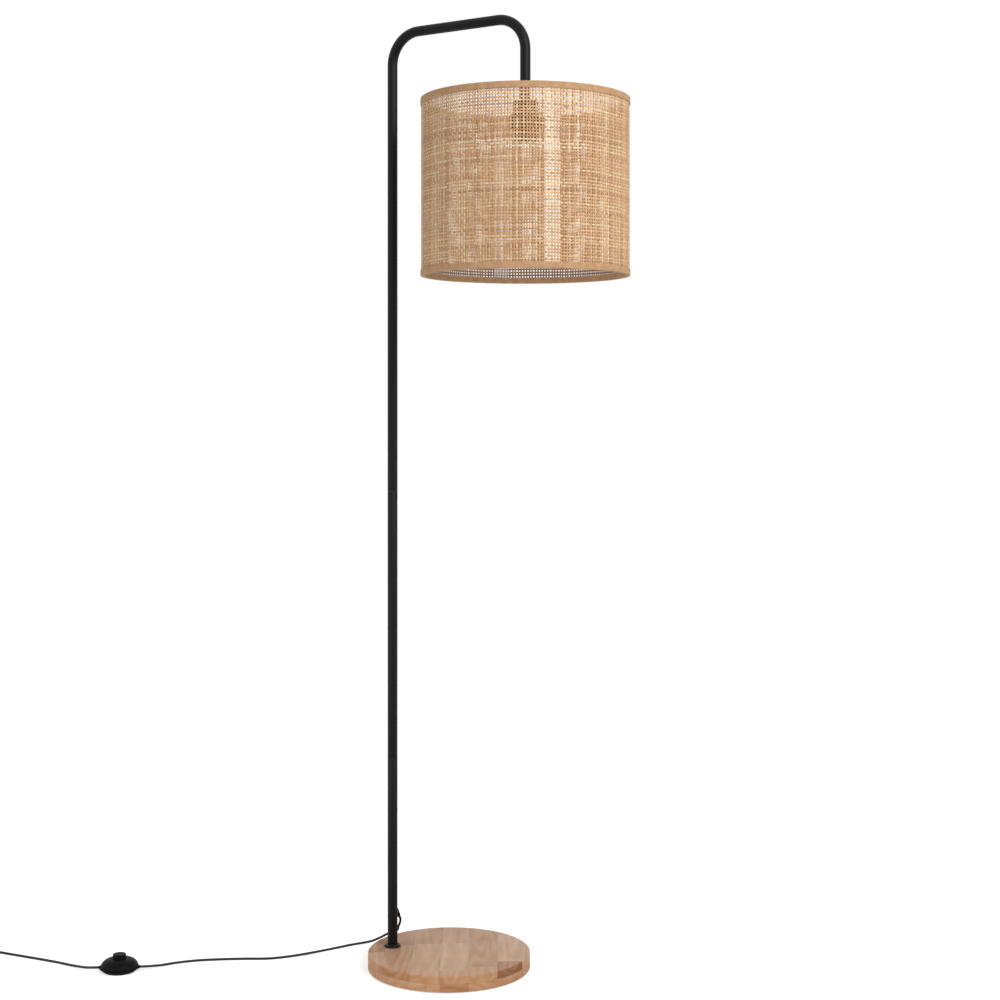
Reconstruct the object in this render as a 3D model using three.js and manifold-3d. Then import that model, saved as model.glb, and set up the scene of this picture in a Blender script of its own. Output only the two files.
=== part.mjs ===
// A rattan floor lamp: a round two-layer wooden base, a black steel tube in three lengths that bends over
// at the top, a woven rattan drum shade on a screw-in lampholder, and a mains lead with a foot switch.
// Lengths are millimetres and +Z is up. The origin is the centre of the base's underside, on the floor,
// and +X points the way the arm reaches, from the pole to the shade.

import * as THREE from "three";
import { mergeVertices } from "three/addons/utils/BufferGeometryUtils.js";
import Module from "manifold-3d";

const wasm = await Module();
wasm.setup();

// Whole lamp
const lampHeight = 1500;
const armReach = 250;

// Clearances: between pieces that rest on each other, between a shaft and its hole, past a cut's faces
const seatGap = 0.3;
const holeClearance = 0.3;
const overrun = 2;

// Base
const baseDiameter = 258;
const boardThickness = 12.7;
const boardEdgeRadius = 2.2;
const boardJointBevel = 0.5;
const feltThickness = 1.5;
const feltInset = 9;
const poleOffset = 94;
const armTurn = THREE.MathUtils.degToRad(19);

// Ballast under the base, with its wood screws
const ballastDiameter = 150;
const ballastThickness = 8;
const ballastScrewCount = 3;
const ballastScrewCircle = 60;
const woodScrewDiameter = 3.8;
const woodScrewHeadDiameter = 8;
const woodScrewHeadHeight = 2.4;
const woodScrewLength = 12;
const woodScrewPoint = 2;

// Tube and its joints
const tubeDiameter = 16;
const tubeWall = 1.2;
const bendRadius = 50;
const lowerPoleLength = 304.5;
const middlePoleLength = 426;
const jointSleeveLength = 44;
const jointSleeveWall = 2;

// Pole foot: collar, threaded insert, bolt and washer
const collarDiameter = 26;
const collarHeight = 4;
const collarRim = 2.4;
const collarEdge = 0.8;
const collarNeckWall = 0.8;
const insertLength = 24;
const boltDiameter = 8;
const boltLength = 40;
const boltHeadAcrossFlats = 13;
const boltHeadHeight = 5.3;
const washerDiameter = 24;
const washerThickness = 1.6;
const counterboreDiameter = 30;
const counterboreDepth = 8;

// Lead, and the bushing where it leaves the pole
const cordDiameter = 4;
const leadExitHeight = 92;
const leadExitTurn = THREE.MathUtils.degToRad(95.3);
const leadExitTilt = THREE.MathUtils.degToRad(45);
const bushingReach = 28;
const bushingBackDiameter = 11;
const bushingTipDiameter = 6;
const bushingNeckDiameter = 7.8;
const bushingNeckStart = 4.6;
const leadBendRadius = 9;

// Lampholder
const holderDiameter = 39;
const holderDrop = 137;
const holderLength = 61;
const holderEdgeRadius = 4;
const capWall = 2.2;
const capRoof = 3;
const capLength = 22.7;
const skirtDiameter = 38.6;
const skirtWall = 3.6;
const skirtCollarDiameter = 47;
const skirtLip = 1.2;
const skirtCollarThickness = 1.9;
const coreDiameter = 33.6;
const coreThickness = 17;
const coreBelowCap = 13.3;
const nippleDiameter = 10;
const nippleBore = 7.4;
const nippleLength = 22;
const nippleBelowTop = 10;
const bushLength = 14;
const lockNutAcrossFlats = 14;
const lockNutHeight = 3;
const shellDiameter = 28.6;
const shellWall = 0.6;
const shellRibDepth = 0.6;
const shellRibs = 4;
const shellMouthInset = 2.5;
const tongueWidth = 5;
const tongueThickness = 0.5;
const tongueRoot = 9;
const tongueBend = 2;
const tongueTip = 6;
const tongueDrop = 6;
const terminalSpacing = 18;
const terminalScrewDiameter = 2.8;
const terminalHeadDiameter = 5.6;
const terminalHeadHeight = 1.7;
const terminalScrewLength = 8;
const shadeRingDiameter = 56;
const shadeRingBottomDiameter = 50;
const shadeRingHeight = 13.5;
const shadeRingFlange = 5;

// Shade
const shadeDiameter = 321;
const shadeDrop = 136;
const shadeHeight = 270;
const weaveThickness = 1.6;
const weaveColumns = 24;
const weaveRows = 4;
const weaveBar = 24;
const trimThickness = 0.6;
const trimWidth = 9.5;
const hoopWire = 3;
const seamCount = 2;
const seamTurn = THREE.MathUtils.degToRad(135.9);
const seamFilmWidth = 24;
const seamFilmThickness = 0.3;
const spiderPlateDiameter = 50;
const spiderPlateThickness = 2.4;
const spiderBore = 39.6;
const spiderArmRoot = 23;
const spiderBendRadius = 6;
const spiderArmTurns = [92.5, 212.5, 332.5].map(THREE.MathUtils.degToRad);

// Foot switch
const switchPlace = [-432.4, -293];
const switchTurn = THREE.MathUtils.degToRad(36);
const switchDiameter = 62;
const switchFootDiameter = 48;
const switchLedge = 1.2;
const switchSplit = 6.35;
const switchShoulder = 20.5;
const switchWall = 1.8;
const buttonDiameter = 20.8;
const buttonTop = 27.5;
const buttonEdge = 1.6;
const buttonFlangeDiameter = 24.8;
const buttonFlangeThickness = 2;
const buttonStemDiameter = 7;
const buttonStemLength = 3.1;
const blockDiameter = 21;
const blockHeight = 4.9;
const rivetSpacing = 10;
const rivetHeadDiameter = 3.6;
const rivetHeadHeight = 0.6;
const rivetShankDiameter = 2;
const rivetLength = 4;
const bridgeLength = 13;
const bridgeWidth = 3;
const bridgeThickness = 0.6;
const springDiameter = 17;
const springWire = 1;
const springCurls = 3;
const switchScrewSpacing = 40;
const switchBossDiameter = 6;
const switchScrewDiameter = 2.6;
const switchScrewHeadDiameter = 5.6;
const switchScrewHeadHeight = 1.7;
const switchScrewLength = 11;
const switchScrewInset = 0.4;
const sleeveOuterEnd = 33;
const sleeveInnerEnd = 19.6;
const sleeveStop = 23;
const sleeveStopDiameter = 7.2;
const sleeveNeckDiameter = 6;
const sleeveRim = 0.4;

// Coil of spare lead, its tie, and the plug
const coilInnerRadius = 16.1;
const coilPitch = 4.5;
const coilTurns = 7;
const coilTail = 20;
const coilApproach = [-691.7, -335.4];
const coilHeading = THREE.MathUtils.degToRad(187);
const tieThickness = 0.8;
const tieWidth = 7;
const tieSlack = 0.6;
const plugSleeveLength = 28;
const plugSleeveTip = 5.8;
const plugSleeveRoot = 10.4;
const plugBodyLength = 36;
const plugBodyWidth = 26;
const plugBodyHeight = 14;
const plugBodyBevel = 2;
const plugPinDiameter = 4;
const plugPinReach = 19;
const plugPinDepth = 8;
const plugPinSpacing = 18.6;
const plugPinTip = 0.8;

// The free lead's route, laid by hand, as [x, y, z]: down behind the pole, over the base's rim and along
// the floor to the foot switch, and then from the switch to the coil
const routeToSwitch = [
  [-92.1, -4.3, 63.5],
  [-95.6, -1.8, 56.5],
  [-99.4, 0, 50],
  [-101.9, 2, 45],
  [-106.2, 1.6, 41.2],
  [-112.7, -0.2, 38.6],
  [-118.6, -2.1, 36.4],
  [-129.6, -9.6, 29.8],
  [-140.3, -17, 24.6],
  [-154, -24, 21],
  [-169.5, -31.8, 17.7],
  [-186, -41.5, 13.5],
  [-202.8, -52.3, 9.5],
  [-219, -62.6, 5.8],
  [-234.5, -75.8, 3],
  [-250.8, -99, 2.15],
  [-270, -122.4, 2.15],
  [-302.8, -144.6, 2.15],
  [-333.2, -167.4, 2.15],
  [-361.7, -193, 2.15],
  [-383, -222, 2.15],
  [-388, -240.5, 3.4],
  [-392.2, -257.5, 5.6],
];
const routeToCoil = [
  [-477.7, -321.6, 5.6],
  [-495.7, -320.2, 4],
  [-516.7, -318.6, 2.5],
  [-538.5, -318.3, 2.15],
  [-579.4, -322, 2.15],
  [-620.8, -326.6, 2.15],
  [-661.9, -331.7, 2.4],
];

// How finely round shapes are faceted
const largeSides = 48;
const tubeSides = 16;
const smallSides = 12;
const bendSteps = 6;
const cordSides = 8;
const coilSteps = 24;
const coilSides = 6;
const springSteps = 8;
const springSides = 5;
const hoopSides = 6;
const edgeSteps = 2;
const domeSteps = 5;
const cordStep = 10;

// Levels and radii that follow from the sizes above
const baseRadius = baseDiameter / 2;
const lowerBoardBottom = feltThickness + seatGap;
const lowerBoardTop = lowerBoardBottom + boardThickness;
const upperBoardBottom = lowerBoardTop + seatGap;
const baseTop = upperBoardBottom + boardThickness;
const poleX = -poleOffset * Math.cos(armTurn);
const poleY = -poleOffset * Math.sin(armTurn);
const tubeRadius = tubeDiameter / 2;
const tubeBore = tubeRadius - tubeWall;
const tubeFoot = baseTop + seatGap;
const lowerSeam = tubeFoot + lowerPoleLength;
const upperSeam = lowerSeam + seatGap + middlePoleLength;
const armHeight = lampHeight - tubeRadius;
const holderTop = lampHeight - holderDrop;
const holderMouth = holderTop - holderLength;
const capBottom = holderTop - capLength;
const skirtCollarBottom = capBottom - seatGap - skirtCollarThickness;
const coreBottom = capBottom - coreBelowCap;
const spiderHeight = skirtCollarBottom - seatGap - hoopWire / 2;
const shadeTop = lampHeight - shadeDrop;
const tubeEnd = holderTop + seatGap;
const fittedRadius = tubeBore - holeClearance;
const cordRadius = cordDiameter / 2;
const leadBore = cordRadius + holeClearance;
const coreTop = coreBottom + coreThickness;

// Surface finishes
const finishes = {
  wood: { color: 0xb9977a, roughness: 0.55, metalness: 0 },
  coatedSteel: { color: 0x1f1f21, roughness: 0.42, metalness: 0.1 },
  bareSteel: { color: 0x9b9c9e, roughness: 0.35, metalness: 0.9 },
  brass: { color: 0xb5954f, roughness: 0.3, metalness: 0.95 },
  whiteWire: { color: 0xd9d4cc, roughness: 0.4, metalness: 0.1 },
  blackPlastic: { color: 0x1d1d1f, roughness: 0.5, metalness: 0 },
  whiteCeramic: { color: 0xdedbd3, roughness: 0.35, metalness: 0 },
  rattan: { color: 0xc79f78, roughness: 0.65, metalness: 0 },
  tape: { color: 0xc29a74, roughness: 0.8, metalness: 0 },
  whiteFilm: { color: 0xe6e3dd, roughness: 0.6, metalness: 0 },
  felt: { color: 0x2b2a2a, roughness: 0.95, metalness: 0 },
  cord: { color: 0x18181a, roughness: 0.55, metalness: 0 },
};

// A named piece with a finish of its own, added to a group.
function addPiece(group, name, geometry, finish) {
  const mesh = new THREE.Mesh(geometry, new THREE.MeshStandardMaterial(finishes[finish]));
  mesh.name = name;
  group.add(mesh);
}

// A geometry as a solid that can be joined and cut.
function solid(geometry) {
  const bare = geometry.clone();
  bare.deleteAttribute("normal");
  bare.deleteAttribute("uv");
  const merged = mergeVertices(bare);
  const vertProperties = merged.attributes.position.array;
  const triVerts = new Uint32Array(merged.index.array);
  return new wasm.Manifold(new wasm.Mesh({ numProp: 3, vertProperties, triVerts }));
}

// A solid as a geometry again.
function surface(body) {
  const mesh = body.getMesh();
  const geometry = new THREE.BufferGeometry();
  geometry.setAttribute("position", new THREE.BufferAttribute(mesh.vertProperties, 3));
  geometry.setIndex(new THREE.BufferAttribute(mesh.triVerts, 1));
  geometry.computeVertexNormals();
  return geometry;
}

// The first geometry with the others joined to it.
function joined(first, ...others) {
  return surface(others.reduce((body, other) => body.add(solid(other)), solid(first)));
}

// The first geometry with the others cut away.
function cut(first, ...others) {
  return surface(others.reduce((body, other) => body.subtract(solid(other)), solid(first)));
}

// What two geometries share.
function common(first, second) {
  return surface(solid(first).intersect(solid(second)));
}

// A shape turned about Z from [radius, height] points that run anticlockwise round its section. An
// outline that leaves the axis alone is closed on itself.
function turned(outline, sides) {
  const onAxis = outline[0][0] === 0;
  const points = (onAxis ? outline : [...outline, outline[0]]).map(([r, z]) => new THREE.Vector2(r, z));
  return new THREE.LatheGeometry(points, sides).rotateX(Math.PI / 2);
}

// A plain cylinder that stands on the axis.
function rod(radius, bottom, top, sides = smallSides) {
  return turned([[0, bottom], [radius, bottom], [radius, top], [0, top]], sides);
}

// A plain ring round the axis.
function ring(outer, inner, bottom, top, sides = smallSides) {
  return turned([[inner, bottom], [outer, bottom], [outer, top], [inner, top]], sides);
}

// Points of an elliptic arc in a turned outline, from one angle to another, in radians.
function arc(radius, height, across, up, from, to, steps) {
  return Array.from({ length: steps + 1 }, (_, i) => {
    const angle = from + ((to - from) * i) / steps;
    return [radius + across * Math.cos(angle), height + up * Math.sin(angle)];
  });
}

// A round section for a run, or a ring when a bore is given.
function roundSection(radius, sides, bore = 0) {
  const circle = (r) =>
    Array.from({ length: sides }, (_, i) => {
      const angle = (2 * Math.PI * i) / sides;
      return new THREE.Vector2(r * Math.cos(angle), r * Math.sin(angle));
    });
  const shape = new THREE.Shape(circle(radius));
  if (bore > 0) shape.holes.push(new THREE.Path(circle(bore)));
  return shape;
}

// A run of straight lengths with a round bend at each inner corner, stepped only where it bends.
class BentRun extends THREE.Curve {
  constructor(corners, radii) {
    super();
    const points = corners.map((corner) => new THREE.Vector3(...corner));
    this.stations = [];
    points.forEach((point, i) => {
      if (i === 0 || i === points.length - 1) {
        const along = i === 0 ? points[1].clone().sub(point) : point.clone().sub(points[i - 1]);
        this.stations.push({ point, tangent: along.normalize() });
      } else {
        this.addBend(point, points[i - 1], points[i + 1], radii[i - 1]);
      }
    });
    this.steps = this.stations.length - 1;
  }

  // The stations of one bend round a corner.
  addBend(corner, before, after, radius) {
    const inward = corner.clone().sub(before).normalize();
    const outward = after.clone().sub(corner).normalize();
    const angle = inward.angleTo(outward);
    const start = corner.clone().addScaledVector(inward, -radius * Math.tan(angle / 2));
    const sideways = outward.clone().addScaledVector(inward, -outward.dot(inward)).normalize();
    for (let i = 0; i <= bendSteps; i += 1) {
      const turn = (angle * i) / bendSteps;
      const point = start.clone();
      point.addScaledVector(inward, radius * Math.sin(turn));
      point.addScaledVector(sideways, radius * (1 - Math.cos(turn)));
      const tangent = inward.clone().multiplyScalar(Math.cos(turn));
      tangent.addScaledVector(sideways, Math.sin(turn));
      this.stations.push({ point, tangent });
    }
  }

  getPointAt(share, target = new THREE.Vector3()) {
    return target.copy(this.stations[Math.round(share * this.steps)].point);
  }

  getTangentAt(share, target = new THREE.Vector3()) {
    return target.copy(this.stations[Math.round(share * this.steps)].tangent);
  }
}

// A section drawn along a bent run.
function drawn(section, run) {
  return new THREE.ExtrudeGeometry(section, { extrudePath: run, steps: run.steps });
}

// One unbroken tube along points that lie close to level, with flat ends. Its side points start level.
function woundTube(points, radius, sides) {
  const up = new THREE.Vector3(0, 0, 1);
  const positions = [];
  points.forEach((point, i) => {
    const ahead = points[Math.min(i + 1, points.length - 1)];
    const behind = points[Math.max(i - 1, 0)];
    const tangent = ahead.clone().sub(behind).normalize();
    const side = up.clone().cross(tangent).normalize();
    const top = tangent.clone().cross(side);
    for (let j = 0; j < sides; j += 1) {
      const angle = (2 * Math.PI * j) / sides;
      const corner = point.clone().addScaledVector(side, radius * Math.cos(angle));
      corner.addScaledVector(top, radius * Math.sin(angle));
      positions.push(...corner.toArray());
    }
  });
  const indices = [];
  const last = (points.length - 1) * sides;
  for (let i = 0; i < last; i += sides) {
    for (let j = 0; j < sides; j += 1) {
      const next = (j + 1) % sides;
      indices.push(i + j, i + next, i + sides + j);
      indices.push(i + next, i + sides + next, i + sides + j);
    }
  }
  for (let j = 1; j < sides - 1; j += 1) {
    indices.push(0, j + 1, j);
    indices.push(last, last + j, last + j + 1);
  }
  const geometry = new THREE.BufferGeometry();
  geometry.setAttribute("position", new THREE.Float32BufferAttribute(positions, 3));
  geometry.setIndex(indices);
  return geometry;
}

// The least distance between points of a wound tube that are more than half a turn apart along it.
function leastGap(geometry, sides, steps) {
  const at = geometry.attributes.position;
  const apart = (sides * steps) / 2;
  let least = Infinity;
  for (let i = 0; i < at.count; i += 1) {
    for (let j = i + apart; j < at.count; j += 1) {
      const gap = Math.hypot(at.getX(i) - at.getX(j), at.getY(i) - at.getY(j), at.getZ(i) - at.getZ(j));
      least = Math.min(least, gap);
    }
  }
  return least;
}

// A countersunk or flat-headed screw that points up, with its head's face at a height.
function upwardScrew(face, headRadius, headHeight, coneHead, shankRadius, length, point) {
  const headTop = face + headHeight;
  const outline = [[0, face], [headRadius, face]];
  if (!coneHead) outline.push([headRadius, headTop]);
  outline.push([shankRadius, headTop], [shankRadius, face + length - point], [0, face + length]);
  return turned(outline, smallSides);
}

// A hexagonal nut or bolt head.
function hexagon(acrossFlats, bottom, top) {
  return rod(acrossFlats / Math.sqrt(3), bottom, top, 6);
}

// The round base: two boards, the ballast screwed up into the lower one, and the felt under it all.
function makeBase() {
  const base = new THREE.Group();
  const atPole = (geometry) => geometry.translate(poleX, poleY, 0);
  const boltHole = () => atPole(rod(boltDiameter / 2 + holeClearance, 0, baseTop + overrun));
  const counterbore = (clearance) =>
    atPole(rod(counterboreDiameter / 2 + clearance, -overrun, lowerBoardBottom + counterboreDepth, tubeSides));
  const quarter = Math.PI / 2;

  const felt = rod(baseRadius - feltInset, 0, feltThickness, largeSides);
  addPiece(base, "base_felt", cut(felt, counterbore(seatGap)), "felt");

  const recessRadius = ballastDiameter / 2 + holeClearance;
  const recessRoof = lowerBoardBottom + ballastThickness + seatGap;
  const edge = boardEdgeRadius;
  const lowerOutline = [
    [0, recessRoof],
    [recessRadius, recessRoof],
    [recessRadius, lowerBoardBottom],
    ...arc(baseRadius - edge, lowerBoardBottom + edge, edge, edge, -quarter, 0, edgeSteps),
    [baseRadius, lowerBoardTop - boardJointBevel],
    [baseRadius - boardJointBevel, lowerBoardTop],
    [0, lowerBoardTop],
  ];
  const screwPlaces = Array.from({ length: ballastScrewCount }, (_, i) => {
    const angle = (2 * Math.PI * i) / ballastScrewCount;
    return [ballastScrewCircle * Math.cos(angle), ballastScrewCircle * Math.sin(angle)];
  });
  const screwRadius = woodScrewDiameter / 2;
  const screwTip = lowerBoardBottom + woodScrewLength;
  const pilots = screwPlaces.map(([x, y]) =>
    rod(screwRadius + holeClearance, 0, screwTip + holeClearance).translate(x, y, 0),
  );
  const lowerBoard = cut(turned(lowerOutline, largeSides), counterbore(0), boltHole(), ...pilots);
  addPiece(base, "base_lower_board", lowerBoard, "wood");

  const upperOutline = [
    [0, upperBoardBottom],
    [baseRadius - boardJointBevel, upperBoardBottom],
    [baseRadius, upperBoardBottom + boardJointBevel],
    ...arc(baseRadius - edge, baseTop - edge, edge, edge, 0, quarter, edgeSteps),
    [0, baseTop],
  ];
  addPiece(base, "base_upper_board", cut(turned(upperOutline, largeSides), boltHole()), "wood");

  const headRadius = woodScrewHeadDiameter / 2;
  const ballastTop = lowerBoardBottom + ballastThickness;
  const countersinks = screwPlaces.map(([x, y]) => {
    const wide = headRadius + holeClearance;
    const narrow = screwRadius + holeClearance;
    const outline = [
      [0, lowerBoardBottom - overrun],
      [wide, lowerBoardBottom - overrun],
      [wide, lowerBoardBottom],
      [narrow, lowerBoardBottom + woodScrewHeadHeight],
      [narrow, ballastTop + overrun],
      [0, ballastTop + overrun],
    ];
    return turned(outline, smallSides).translate(x, y, 0);
  });
  const ballast = rod(ballastDiameter / 2, lowerBoardBottom, ballastTop, largeSides);
  addPiece(base, "ballast_plate", cut(ballast, ...countersinks), "bareSteel");
  screwPlaces.forEach(([x, y], i) => {
    const screw = upwardScrew(
      lowerBoardBottom, headRadius, woodScrewHeadHeight, true, screwRadius, woodScrewLength, woodScrewPoint,
    );
    addPiece(base, `ballast_screw_${i + 1}`, screw.translate(x, y, 0), "bareSteel");
  });
  return base;
}

// What holds the pole to the base: the bolt from below, its washer, the threaded insert in the tube's
// foot and the thin collar round it.
function makePoleFoot() {
  const foot = new THREE.Group();
  const counterboreRoof = lowerBoardBottom + counterboreDepth;
  const washerTop = counterboreRoof - seatGap;
  const washerBottom = washerTop - washerThickness;
  const headTop = washerBottom - seatGap;
  const boltRadius = boltDiameter / 2;
  const boltHole = boltRadius + holeClearance;
  const shank = rod(boltRadius, headTop - boltHeadHeight / 2, headTop + boltLength);
  const bolt = joined(hexagon(boltHeadAcrossFlats, headTop - boltHeadHeight, headTop), shank);
  addPiece(foot, "base_bolt", bolt, "bareSteel");
  addPiece(foot, "base_washer", ring(washerDiameter / 2, boltHole, washerBottom, washerTop, tubeSides), "bareSteel");
  const insertBottom = tubeFoot + seatGap;
  const insert = ring(fittedRadius, boltHole, insertBottom, insertBottom + insertLength, tubeSides);
  addPiece(foot, "pole_foot_insert", insert, "bareSteel");

  const collarRadius = collarDiameter / 2;
  const collarBore = tubeRadius + holeClearance;
  const neck = collarBore + collarNeckWall;
  const collar = turned(
    [
      [collarBore, tubeFoot],
      [collarRadius - collarEdge, tubeFoot],
      [collarRadius, tubeFoot + collarEdge],
      [collarRadius, tubeFoot + collarRim],
      [collarRadius - collarEdge, tubeFoot + collarRim + collarEdge],
      [neck + collarEdge, tubeFoot + collarHeight - collarEdge],
      [neck, tubeFoot + collarHeight],
      [collarBore, tubeFoot + collarHeight],
    ],
    tubeSides,
  );
  addPiece(foot, "pole_collar", collar, "coatedSteel");
  return foot;
}

// The matrix that lays a shape turned about Z along the lead's way out of the pole, out and down.
function leadExitMatrix() {
  const turn = new THREE.Matrix4().makeRotationZ(leadExitTurn);
  const tilt = new THREE.Matrix4().makeRotationY(Math.PI / 2 + leadExitTilt);
  const lift = new THREE.Matrix4().makeTranslation(0, 0, leadExitHeight);
  return lift.multiply(turn).multiply(tilt);
}

// A place on the lead's way out, at a distance from the pole's axis.
function leadExitPoint(reach) {
  return new THREE.Vector3(0, 0, reach).applyMatrix4(leadExitMatrix());
}

// The tube in its three lengths, the sleeves that join them, and the threaded bush in its end.
function makeTube() {
  const tube = new THREE.Group();
  const exit = leadExitMatrix();
  const neckHole = rod(bushingNeckDiameter / 2 + holeClearance, 0, tubeDiameter).applyMatrix4(exit);
  const lowerPole = ring(tubeRadius, tubeBore, tubeFoot, lowerSeam, tubeSides);
  addPiece(tube, "lower_pole", cut(lowerPole, neckHole), "coatedSteel");
  const middlePole = ring(tubeRadius, tubeBore, lowerSeam + seatGap, upperSeam, tubeSides);
  addPiece(tube, "middle_pole", middlePole, "coatedSteel");

  const corners = [
    [0, 0, upperSeam + seatGap],
    [0, 0, armHeight],
    [armReach, 0, armHeight],
    [armReach, 0, tubeEnd],
  ];
  const section = roundSection(tubeRadius, tubeSides, tubeBore);
  const gooseneck = drawn(section, new BentRun(corners, [bendRadius, bendRadius]));
  addPiece(tube, "gooseneck", gooseneck, "coatedSteel");

  const seams = { lower_joint_sleeve: lowerSeam, upper_joint_sleeve: upperSeam };
  for (const [name, seam] of Object.entries(seams)) {
    const half = jointSleeveLength / 2;
    const sleeve = ring(fittedRadius, fittedRadius - jointSleeveWall, seam - half, seam + half, smallSides);
    addPiece(tube, name, sleeve, "bareSteel");
  }
  const bushBottom = tubeEnd + seatGap;
  const bushBore = nippleDiameter / 2 + holeClearance;
  const bush = ring(fittedRadius, bushBore, bushBottom, bushBottom + bushLength, smallSides);
  addPiece(tube, "tube_end_bush", bush.translate(armReach, 0, 0), "bareSteel");
  return tube;
}

// The tapered bushing that the lead leaves the pole through. Its back follows the tube's round wall.
function makeLeadBushing() {
  const backRadius = bushingBackDiameter / 2;
  const taper = turned(
    [
      [0, 0],
      [backRadius, 0],
      [backRadius, tubeRadius + backRadius],
      [bushingTipDiameter / 2, bushingReach],
      [0, bushingReach],
    ],
    smallSides,
  ).applyMatrix4(leadExitMatrix());
  const poleWall = rod(tubeRadius + seatGap, 0, leadExitHeight * 2, tubeSides);
  const neck = rod(bushingNeckDiameter / 2, bushingNeckStart, tubeDiameter).applyMatrix4(leadExitMatrix());
  const bore = rod(leadBore, 0, bushingReach + overrun).applyMatrix4(leadExitMatrix());
  return cut(joined(cut(taper, poleWall), neck), bore);
}

// The part of the lead inside the lamp, from the bushing's mouth up the tube, over and down to the
// lampholder's core.
function makeInnerLead() {
  const start = leadExitPoint(bushingReach);
  const turnIn = [0, 0, leadExitHeight];
  const corners = [
    start.toArray(),
    turnIn,
    [0, 0, armHeight],
    [armReach, 0, armHeight],
    [armReach, 0, coreTop + seatGap],
  ];
  const run = new BentRun(corners, [leadBendRadius, bendRadius, bendRadius]);
  return drawn(roundSection(cordRadius, cordSides), run);
}

// The lampholder under the tube's end, with its nipple, nut, cap, core, contacts, screw shell and skirt.
function makeLampholder() {
  const holder = new THREE.Group();
  const quarter = Math.PI / 2;
  const nippleRadius = nippleDiameter / 2;
  const nippleHole = nippleRadius + holeClearance;
  const nippleBottom = holderTop - nippleBelowTop;
  const nipple = ring(nippleRadius, nippleBore / 2, nippleBottom, nippleBottom + nippleLength);
  addPiece(holder, "holder_nipple", nipple, "bareSteel");
  const nutTop = holderTop - capRoof - seatGap;
  const nutBlank = hexagon(lockNutAcrossFlats, nutTop - lockNutHeight, nutTop);
  const lockNut = cut(nutBlank, rod(nippleHole, nutTop - lockNutHeight - overrun, nutTop + overrun));
  addPiece(holder, "holder_lock_nut", lockNut, "bareSteel");

  const capRadius = holderDiameter / 2;
  const edge = holderEdgeRadius;
  const capOutline = [
    [nippleHole, holderTop - capRoof],
    [capRadius - capWall, holderTop - capRoof],
    [capRadius - capWall, capBottom],
    [capRadius, capBottom],
    ...arc(capRadius - edge, holderTop - edge, edge, edge, 0, quarter, edgeSteps),
    [nippleHole, holderTop],
  ];
  addPiece(holder, "holder_cap", turned(capOutline, tubeSides), "blackPlastic");

  const screwHoles = [-1, 1].map((side) =>
    rod(terminalScrewDiameter / 2 + holeClearance, coreTop - terminalScrewLength, coreTop + overrun).translate(
      (side * terminalSpacing) / 2, 0, 0,
    ),
  );
  const core = rod(coreDiameter / 2, coreBottom, coreTop, tubeSides);
  addPiece(holder, "holder_core", cut(core, ...screwHoles), "whiteCeramic");
  [-1, 1].forEach((side, i) => {
    const headFace = coreTop + seatGap + terminalHeadHeight;
    const headRadius = terminalHeadDiameter / 2;
    const screw = upwardScrew(
      0, headRadius, terminalHeadHeight, false, terminalScrewDiameter / 2, terminalScrewLength, 0,
    );
    screw.rotateX(Math.PI).translate((side * terminalSpacing) / 2, 0, headFace);
    addPiece(holder, `terminal_screw_${i + 1}`, screw, "brass");
  });

  const tongueTop = coreBottom - seatGap;
  const tongueLine = [
    [-tongueRoot, 0],
    [-tongueBend, 0],
    [tongueBend, -tongueDrop],
    [tongueTip, -tongueDrop],
  ];
  const below = [...tongueLine].reverse().map(([x, z]) => [x, z - tongueThickness]);
  const strip = new THREE.Shape([...tongueLine, ...below].map(([x, z]) => new THREE.Vector2(x, z)));
  const tongue = new THREE.ExtrudeGeometry(strip, { depth: tongueWidth, bevelEnabled: false });
  tongue.rotateX(quarter).translate(0, tongueWidth / 2, tongueTop);
  addPiece(holder, "contact_tongue", tongue, "brass");

  const shellRadius = shellDiameter / 2;
  const shellBottom = holderMouth + shellMouthInset;
  const shellTop = coreBottom - seatGap;
  const ribStep = (shellTop - shellBottom) / (2 * shellRibs);
  const ribs = Array.from({ length: 2 * shellRibs + 1 }, (_, i) => [
    shellRadius - (i % 2 === 0 ? shellRibDepth : 0),
    shellBottom + ribStep * i,
  ]);
  const inside = [...ribs].reverse().map(([r, z]) => [r - shellWall, z]);
  addPiece(holder, "screw_shell", turned([...ribs, ...inside], tubeSides), "brass");

  const skirtRadius = skirtDiameter / 2;
  const skirtTop = capBottom - seatGap;
  const coreSeat = coreBottom - seatGap;
  const skirt = turned(
    [
      [skirtRadius - skirtWall, holderMouth],
      [skirtRadius - skirtLip, holderMouth],
      [skirtRadius, holderMouth + skirtLip],
      [skirtRadius, skirtCollarBottom],
      [skirtCollarDiameter / 2, skirtCollarBottom],
      [skirtCollarDiameter / 2, skirtTop],
      [coreDiameter / 2 + holeClearance, skirtTop],
      [coreDiameter / 2 + holeClearance, coreSeat],
      [skirtRadius - skirtWall, coreSeat],
    ],
    tubeSides,
  );
  addPiece(holder, "holder_skirt", skirt, "blackPlastic");

  const ringTop = spiderHeight - hoopWire / 2 - seatGap;
  const ringBottom = ringTop - shadeRingHeight;
  const ringBore = skirtRadius + holeClearance;
  const shadeRing = turned(
    [
      [ringBore, ringBottom],
      [shadeRingBottomDiameter / 2, ringBottom],
      [shadeRingBottomDiameter / 2, ringTop - shadeRingFlange],
      [shadeRingDiameter / 2, ringTop - shadeRingFlange],
      [shadeRingDiameter / 2, ringTop],
      [ringBore, ringTop],
    ],
    tubeSides,
  );
  addPiece(holder, "shade_ring", shadeRing, "blackPlastic");
  return holder;
}

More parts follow.
